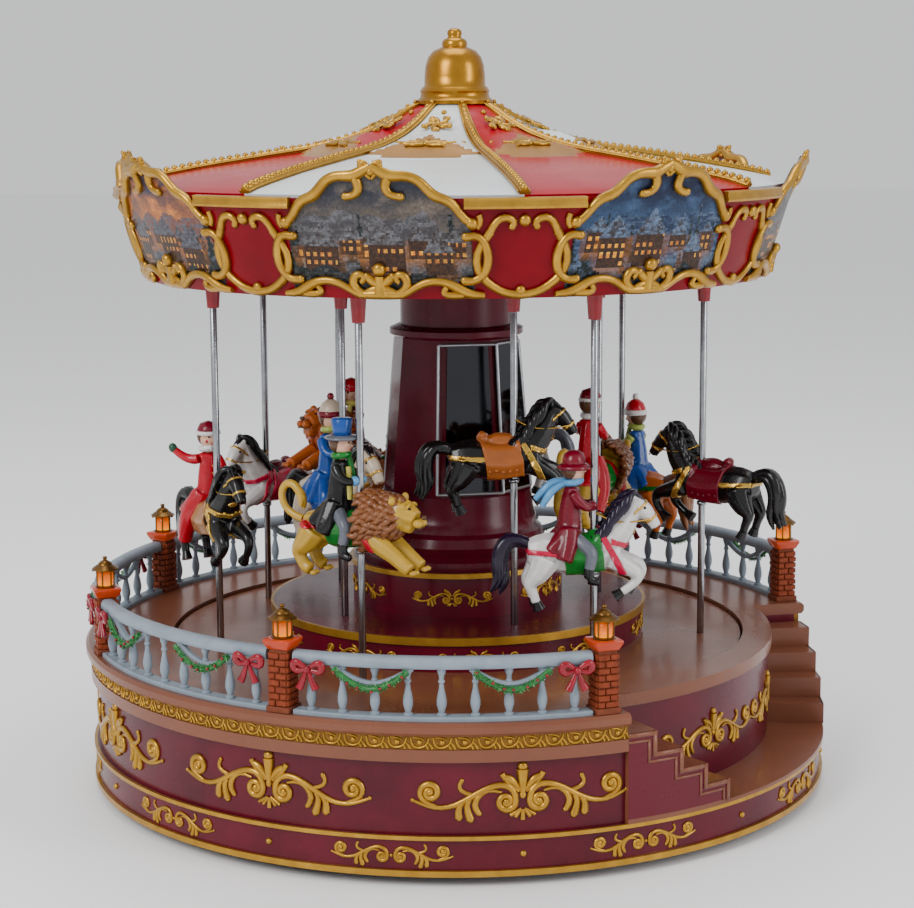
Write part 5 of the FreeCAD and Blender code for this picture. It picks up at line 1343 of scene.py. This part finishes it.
def add_horse(shape, palette, coat, hair, hoof, strap, cloth, seed, saddle=None, plate=None):
    add_mesh(shape, horse_body.copy(), None, paint_index(palette, coat))
    add_mesh(shape, stroked(hooves, 2), None, paint_index(palette, hoof))
    add_mesh(shape, stroked(horse_hair(seed), 1, 3), None, paint_index(palette, hair))
    straps = paint_index(palette, strap)
    add_strap(shape, horse_body, band((6.4, 0, 0), (1, 0, 0.55), 2.2) + [((0, 0, -6.8), (0, 0, -1))], straps)
    add_strap(shape, horse_body, band((9.6, 0, 4), (0.35, 0, 1), 1.9) + [((5.5, 0, 0), (-1, 0, 0))], straps)
    add_strap(shape, horse_body, band((0, 0, 0.4), (0.06, 0, 1), 1.7) + [((-5, 0, 0), (1, 0, 0)),
                ((-30, 0, 0), (-1, 0, 0))], straps)
    head_line = Vector((0.62, 0, -0.78))
    bridle = paint_index(palette, "gilt")
    for place, width in (((21.4, 0, 13.0), 0.9), ((17.4, 0, 17.6), 0.8)):
        add_strap(shape, horse_body, band(place, head_line, width) + [((14.5, 0, 0), (-1, 0, 0))], bridle,
                  0.02, 0.35)
    for side in (-1, 1):
        rein = [(21.0, side * 2.3, 13.0), (14.0, side * 4.6, 12.0), (5.0, side * 4.0, 12.8),
                (0.6, side * 1.5, 15.6)]
        add_mesh(shape, stroked([(rein, [0.32] * 4)], 0, 4), None, bridle)
        ball_at(shape, (18.6, side * 2.65, 17.2), 0.62, paint_index(palette, "black"))
        ball_at(shape, (24.6, side * 1.1, 9.6), 0.4, paint_index(palette, "wine"), detail=1)
    blanket = [((2.4, 0, 0), (1, 0, 0.12)), ((-12.2, 0, 0), (-1, 0, -0.2)), ((0, 0, -5.2), (0.12, 0, -1))]
    add_strap(shape, horse_body, blanket, paint_index(palette, cloth), 0.25, 0.9)
    if plate:
        for n in range(6):
            for side in (-1, 1):
                ball_at(shape, (-13.5 - 1.6 * n, side * (6.4 + 0.25 * math.sin(n)), 1.4 - 0.25 * n), 0.75,
                        bridle, (1.1, 0.5, 0.8), 1)
        for n in range(7):
            turn = math.radians(-70 + 140 * n / 6)
            ball_at(shape, (9.4 + 4.6 * math.cos(turn) * 0.55, 5.8 * math.sin(turn),
                            3.4 + 0.8 * math.cos(turn)), 0.8, bridle, detail=1)
    if saddle:
        index = paint_index(palette, saddle)
        seat = [([(-10.5, 0, 6.0), (-7.5, 0, 7.4), (-3.5, 0, 6.8), (-0.5, 0, 7.6)], [2.6, 3.6, 3.8, 2.8]),
                ([(-12.4, -2.4, 9.4), (-12.6, 0, 10.8), (-12.4, 2.4, 9.4)], [1.3, 1.6, 1.3]),
                ([(-11.6, 0, 6.4), (-12.6, 0, 10.2)], [2.8, 2.2]),
                ([(0.6, -1.8, 8.2), (1.0, 0, 9.6), (0.6, 1.8, 8.2)], [1.1, 1.3, 1.1])]
        add_mesh(shape, fused(seat, 0.5), None, index)
        for side in (-1, 1):
            for n in range(5):
                ball_at(shape, (-10.5 + 2.6 * n, side * 7.7, -3.4 + 0.3 * math.sin(2 * n)), 0.7, index,
                        (1.1, 0.5, 1), 1)


# ---------------------------------------------------------------- lions
# Resin lions in the same paint: a springing body with stretched forepaws, a great mane of curled
# locks round the face, and a tail looped over the rump.

lion_strokes = [
    ([(-23, 0, 0.6), (-17, 0, 0.8), (-6, 0, -0.8), (4, 0, 0.6), (9, 0, 3.6)], [4.4, 6.6, 6.2, 6.6, 6.6]),
    ([(9, 0, 5.0), (14, 0, 7.0), (18.5, 0, 7.6)], [7.2, 7.2, 5.8]),
    ([(17.5, 0, 8.0), (20.8, 0, 6.6), (23.2, 0, 5.6)], [5.6, 4.6, 3.5]),
    ([(19.0, 0, 4.0), (22.2, 0, 2.2)], [3.8, 2.5])]
lion_pairs = [
    ([(5.5, 3.6, -1), (11.5, 4.6, -4.8), (17.2, 4.4, -8.4), (21.0, 4.4, -11.4)], [4.8, 3.8, 2.9, 2.8]),
    ([(20.6, 4.4, -11.2), (23.2, 4.4, -12.6)], [2.8, 2.6]),
    ([(-17.5, 3.8, -1), (-20.6, 5.0, -5.6), (-24.6, 5.0, -9.0), (-22.6, 5.0, -12.4), (-21.4, 5.0, -14.6)],
     [5.8, 4.8, 2.9, 2.4, 2.5]),
    ([(-21.6, 5.0, -14.6), (-18.8, 5.0, -15.8)], [2.6, 2.5])]
lion_body = fused(lion_strokes + both(lion_pairs))
looped_tail = [([(-25, 0, 2), (-30.4, 0, 3.2), (-34.6, 0, 8.6), (-33.4, 0, 14.6), (-28.2, 0, 15.4),
                 (-25.6, 0, 10.8)], [1.6, 1.4, 1.4, 1.5, 1.6, 1.8])]
raised_tail = [([(-25, 0, 2), (-30.0, 0, 3.6), (-32.6, 0, 9.6), (-31.6, 0, 16.4), (-30.2, 0, 21.4)],
                [1.7, 1.5, 1.5, 2.2, 2.4])]


def mane_curls(seed, count=120):
    """Wavy locks set round the head and chest, lying outwards and back."""
    comb = random.Random(seed)
    curls = []
    for k in range(count):
        share = k / count
        turn = k * 2.399963
        reach = 5.0 + 4.0 * share
        x = 18.6 - 14.0 * share
        side = Vector((0, math.sin(turn), math.cos(turn)))
        root = Vector((x, 0, 6.8 - 2.4 * share)) + side * reach
        back = Vector((-0.75, 0, -0.18))
        bend = side.cross(Vector((1, 0, 0))) * comb.choice((-1, 1))
        points = [root - side * 1.4]
        for n in range(1, 5):
            points.append(root + (side * 0.85 + back * 1.5) * n * 1.05 + bend * (0.9 * math.sin(n * 2.0 + k)))
        points[-1] = points[-1] - side * 1.1
        curls.append(([tuple(p) for p in points], [1.2, 1.7, 1.6, 1.3, 0.5]))
    return curls


def add_lion(shape, palette, coat, mane, strap, cloth, seed, tail, bow=None, rear=0.0):
    first = len(shape.verts)
    add_mesh(shape, lion_body.copy(), None, paint_index(palette, coat))
    add_mesh(shape, stroked(tail, 2, 4), None, paint_index(palette, coat))
    add_mesh(shape, stroked(mane_curls(seed), 0, 2), None, paint_index(palette, mane))
    tip = tail[0][0][-1]
    tuft = locks([[tip, (tip[0] + 1.2, 0, tip[2] + 2.4),
                   (tip[0] + 1.8, 0, tip[2] + 5.0)]] if tail is raised_tail
                 else [[tip, (tip[0] + 0.6, 0, tip[2] - 2.4), (tip[0] + 0.2, 0, tip[2] - 5.0)]],
                 [1.7, 1.6, 0.4], 1.0, 7, seed + 3)
    add_mesh(shape, stroked(tuft, 1, 3), None, paint_index(palette, coat if tail is looped_tail else mane))
    straps = paint_index(palette, strap)
    add_strap(shape, lion_body, band((5.2, 0, 0), (1, 0, 0.5), 2.2) + [((0, 0, -6.4), (0, 0, -1))], straps)
    add_strap(shape, lion_body, band((0, 0, -0.4), (0.08, 0, 1), 1.8) + [((-6, 0, 0), (1, 0, 0))], straps)
    add_strap(shape, lion_body, [((1.8, 0, 0), (1, 0, 0.15)), ((-12.0, 0, 0), (-1, 0, -0.2)),
                                 ((0, 0, -5.0), (0.2, 0, -1))], paint_index(palette, cloth), 0.25, 0.9)
    dark = paint_index(palette, "hair")
    for side in (-1, 1):
        ball_at(shape, (21.9, side * 2.5, 9.6), 0.65, paint_index(palette, "black"))
        add_mesh(shape, stroked([([(21.2, side * 1.3, 11.4), (21.8, side * 2.6, 11.1),
                                   (21.2, side * 3.9, 10.0)], [0.6, 0.75, 0.5])], 1, 3), None,
                 paint_index(palette, coat))
        ball_at(shape, (24.8, side * 1.5, 4.4), 2.1, paint_index(palette, coat), (1, 0.9, 0.8))
        ball_at(shape, (16.0, side * 5.0, 12.6), 1.8, paint_index(palette, coat), (0.7, 1, 1))
        for toe in (-1.3, 0, 1.3):
            ball_at(shape, (24.8, side * 4.4 + toe, -13.4), 1.2, paint_index(palette, coat), (1.3, 0.8, 0.9), 1)
            ball_at(shape, (-17.2, side * 5.0 + toe, -16.8), 1.2, paint_index(palette, coat), (1.3, 0.8, 0.9),
                    1)
    ball_at(shape, (26.6, 0, 6.6), 1.15, dark, (0.8, 1.2, 0.8))
    add_mesh(shape, stroked([([(25.4, -2.1, 2.6), (26.6, 0, 3.2), (25.4, 2.1, 2.6)], [0.35] * 3)], 0, 3), None,
             dark)
    if bow:
        index = paint_index(palette, bow)
        ball_at(shape, (-32.0, 0, 12.6), 1.9, index, (1, 1, 0.7))
        for side in (-1, 1):
            add_mesh(shape, stroked([([(-32.0, 0, 12.6), (-34.0, side * 3.0, 13.8), (-33.0, side * 4.8, 12.0),
                                       (-31.6, side * 1.0, 12.0)], [0.8, 1.4, 1.4, 0.7])], 1, 3), None, index)
    shape.verts.ensure_lookup_table()
    bmesh.ops.rotate(shape, verts=shape.verts[first:], cent=(0, 0, 0),
                     matrix=Matrix.Rotation(math.radians(-rear), 3, "Y"))


# ---------------------------------------------------------------- riders
# Doll riders cast with their mounts: painted coats, gloves, scarves and winter hats; plain
# doll faces with dot eyes. Each sits behind the pole and holds it.


def add_hat(shape, palette, kind, main, second):
    head = Vector((-7.6, 0, 34.0))
    top, trim = paint_index(palette, main), paint_index(palette, second)
    if kind == "top_hat":
        add_turned(shape, [(0, 0), (3.6, 0), (3.5, 3.0), (4.0, 6.6), (3.6, 7.1), (0, 7.2)], head, 20, top, 1.0)
        add_turned(shape, [(3.4, 0.0), (6.3, -0.6), (6.5, -0.1), (6.2, 0.4), (3.4, 0.9)], head, 20, trim, 1.0)
    elif kind == "brimmed":
        add_turned(shape, [(0, -0.6), (4.4, -0.6), (4.3, 1.6), (3.6, 3.8), (1.8, 5.0), (0, 5.2)], head, 20,
                   top, 1.0)
        add_turned(shape, [(4.0, -0.8), (6.0, -1.8), (6.4, -1.2), (5.4, -0.2), (4.2, 0.5)], head, 20, trim, 1.0)
    elif kind == "bobble":
        add_turned(shape, [(0, -1.0), (4.5, -1.0), (4.6, 1.0), (3.6, 3.6), (1.6, 5.2), (0, 5.6)], head, 20,
                   top, 1.0)
        add_turned(shape, [(4.2, -1.7), (5.1, -1.3), (5.2, 0.3), (4.4, 0.9)], head, 20, trim, 1.0)
        add_turned(shape, [(0, 5.0), (1.2, 5.4), (1.5, 6.5), (1.0, 7.6), (0, 7.9)], head, 12, trim, 1.0)
    else:
        add_turned(shape, [(0, -0.8), (4.4, -0.8), (4.5, 1.2), (3.4, 3.4), (0, 4.6)], head, 20, top, 1.0)
        add_turned(shape, [(4.2, -1.2), (4.9, -0.9), (4.9, 0.2), (4.3, 0.6)], head, 20, trim, 1.0)


def add_rider(shape, palette, coat, legs, gloves, scarf, hat, sleeves=None, vest=None, dress=False, wave=False,
              flying=False, drop=0.0):
    first = len(shape.verts)
    coat_index = paint_index(palette, coat)
    torso = [([(-9.4, 0, 5.2), (-9.2, 0, 12), (-8.8, 0, 19), (-8.2, 0, 25.4)], [5.6, 4.5, 4.1, 2.9]),
             ([(-8.6, -3.6, 23.2), (-8.4, 0, 24.4), (-8.6, 3.6, 23.2)], [2.3, 2.4, 2.3])]
    for side in (-1, 1):
        if dress:
            torso.append(([(-9, side * 2.5, 9), (-10.5, side * 6.4, 3), (-13.6, side * 8.2, -5),
                           (-16.0, side * 7.6, -10.6)], [4.4, 4.4, 3.6, 3.0]))
            torso.append(([(-10, side * 1.5, 7), (-15.5, side * 4.0, 4.0), (-20.5, side * 5.6, 0.4)],
                          [5.0, 4.0, 2.6]))
        else:
            torso.append(([(-9.8, side * 2.6, 9), (-10.4, side * 5.8, 4.0), (-12.4, side * 7.6, -1.4)],
                          [4.6, 4.2, 3.2]))
            torso.append(([(-9.8, side * 2.0, 8), (-14.0, side * 4.2, 5.0), (-17.6, side * 5.6, 1.6)],
                          [4.6, 3.8, 2.6]))
    for side in (-1, 1):
        hand = (-0.9, side * 2.6, 18.4)
        elbow = (-4.4, side * 6.4, 17.0)
        if wave and side < 0:
            hand, elbow = (-15.0, side * 12.4, 27.6), (-12.4, side * 7.6, 21.6)
        arm = [([(-8.5, side * 3.8, 23.4), elbow, hand], [2.2, 2.0, 1.5])]
        add_mesh(shape, fused(arm, 0.5), None, paint_index(palette, sleeves or coat))
        ball_at(shape, hand, 1.75, paint_index(palette, gloves), (1.1, 0.95, 1.1))
        add_mesh(shape, stroked([([tuple(Vector(hand) * 0.86 + Vector(elbow) * 0.14), hand], [1.75, 1.7])], 1),
                 None, paint_index(palette, gloves))
        if not dress:
            thigh = [([(-8, side * 3.2, 6.6), (-3.4, side * 7.0, 3.6), (-1.4, side * 7.8, 0.4),
                       (-3.2, side * 8.4, -5.0)], [3.0, 2.7, 2.5, 2.0])]
            add_mesh(shape, fused(thigh, 0.5), None, paint_index(palette, legs))
            boot = [([(-3.0, side * 8.4, -4.0), (-3.2, side * 8.5, -8.0)], [2.2, 1.9]),
                    ([(-3.4, side * 8.5, -8.2), (0.6, side * 8.7, -9.4)], [1.9, 1.5])]
            add_mesh(shape, fused(boot, 0.5), None, paint_index(palette, "black"))
    add_mesh(shape, fused(torso, 0.6), None, coat_index)
    if vest:
        add_mesh(shape, stroked([([(-4.8, 0, 11.0), (-4.6, 0, 16), (-5.2, 0, 23.2)], [1.2, 1.6, 1.2])], 1, 3),
                 None, paint_index(palette, vest))
    for n in range(4):
        ball_at(shape, (-4.0, 0, 12.0 + 2.9 * n), 0.42, paint_index(palette, "gilt"), detail=1)
    skin = paint_index(palette, "skin")
    add_mesh(shape, stroked([([(-8.2, 0, 26.0), (-7.8, 0, 29.5)], [1.8, 1.8])], 1), None, skin)
    ball_at(shape, (-7.4, 0, 31.6), 4.1, skin, (0.92, 0.88, 1.06), 3)
    ball_at(shape, (-3.5, 0, 31.2), 0.55, skin)
    ball_at(shape, (-9.0, 0, 32.2), 4.25, paint_index(palette, "hair"), (0.85, 0.98, 1.02), 3)
    for side in (-1, 1):
        ball_at(shape, (-4.0, side * 1.35, 32.3), 0.46, paint_index(palette, "black"), detail=1)
        ball_at(shape, (-4.45, side * 2.1, 30.6), 0.75, paint_index(palette, "rose" if dress else "skin"),
                (0.4, 1, 1), 1)
    ball_at(shape, (-3.95, 0, 29.6), 0.5, paint_index(palette, "red"), (0.6, 1.6, 0.6), 1)
    index = paint_index(palette, scarf)
    ring = [(-8.0 + 3.0 * math.cos(math.radians(t)), 3.0 * math.sin(math.radians(t)),
             27.4 + 0.4 * math.cos(math.radians(t))) for t in range(0, 361, 45)]
    add_mesh(shape, stroked([(ring, [1.35] * len(ring))], 1, 3), None, index)
    if flying:
        tails = [([(-10.4, 1.0, 27.4), (-14.6, 2.0, 27.6), (-18.4, 1.2, 24.4), (-21.6, 2.4, 20.6)],
                  [1.2, 1.7, 1.8, 1.3]),
                 ([(-10.4, -0.6, 27.0), (-14.4, -0.4, 25.6), (-17.6, -1.4, 22.4), (-19.6, -0.6, 18.4)],
                  [1.1, 1.5, 1.6, 1.2])]
    else:
        tails = [([(-5.4, 1.0, 26.8), (-4.4, 1.6, 22.6), (-4.2, 1.8, 18.4)], [1.1, 1.3, 1.2])]
    if not dress:
        add_mesh(shape, stroked(tails, 1, 4), None, index)
    add_hat(shape, palette, *hat)
    shape.verts.ensure_lookup_table()
    bmesh.ops.translate(shape, verts=shape.verts[first:], vec=(0, 0, -drop))


figure_parts = (
    ("outer_horse_1", ("black", "black", "black", "gilt", "wine", 1, "wine", True), None),
    ("outer_ridden_horse_2", ("white", "violet", "black", "rose", "green", 2),
     dict(coat="wine", legs="grey", gloves="wine", scarf="sky", hat=("brimmed", "wine", "wine"), flying=True)),
    ("outer_ridden_lion_3", ("lion", "mane_brown", "red", "green", 3, looped_tail),
     dict(coat="black", legs="grey", gloves="sky", scarf="green", hat=("top_hat", "blue", "grey"),
          vest="straw")),
    ("outer_ridden_horse_4", ("black", "black", "black", "gilt", "tan", 4, None, True),
     dict(coat="red", legs="red", gloves="dark_green", scarf="white", hat=("cap", "wine", "white"), dress=True,
          wave=True)),
    ("outer_horse_5", ("white", "black", "black", "rose", "rose", 5, "wine"), None),
    ("outer_lion_6", ("lion", "mane_brown", "green", "wine", 6, looped_tail), None),
    ("outer_ridden_horse_7", ("chestnut", "mane_brown", "black", "green", "cream", 7),
     dict(coat="blue", legs="green", gloves="lime", scarf="lime", hat=("bobble", "red", "white"),
          sleeves="lime")),
    ("inner_horse_1", ("black", "black", "black", "gilt", "saddle", 8, "saddle", True), None),
    ("inner_ridden_horse_2", ("cream", "black", "black", "gilt", "blue", 9),
     dict(coat="blue", legs="blue", gloves="green", scarf="lime", hat=("bobble", "cream", "wine"),
          vest="lime")),
    ("inner_ridden_lion_3", ("chestnut", "curl_red", "green", "dark_green", 10, raised_tail, "green", 20.0),
     dict(coat="wine", legs="grey", gloves="tan", scarf="straw", hat=("cap", "red", "red"), drop=9.0)),
    ("inner_horse_4", ("white", "grey", "black", "wine", "blue", 11, "saddle"), None),
    ("inner_ridden_lion_5", ("lion", "mane_brown", "red", "green", 12, looped_tail),
     dict(coat="red", legs="red", gloves="black", scarf="white", hat=("cap", "wine", "white"), dress=True)))
for name, mount, rider in figure_parts:
    ring, angle, height, turn = places[name]
    shape = bmesh.new()
    palette = []
    add_mount = add_lion if "lion" in name else add_horse
    add_mount(shape, palette, *mount)
    if rider:
        add_rider(shape, palette, **rider)
    bmesh.ops.scale(shape, vec=(mm, mm, mm), verts=shape.verts)
    ring_place = Matrix.Translation((0, -ring * mm, height * mm))
    stand = Matrix.Rotation(math.radians(angle), 4, "Z") @ ring_place @ Matrix.Rotation(math.radians(turn), 4,
                "Z")
    bmesh.ops.transform(shape, matrix=stand, verts=shape.verts)
    piece_from(shape, name + "_painted", [enamel(colour) for colour in palette], name, [name])
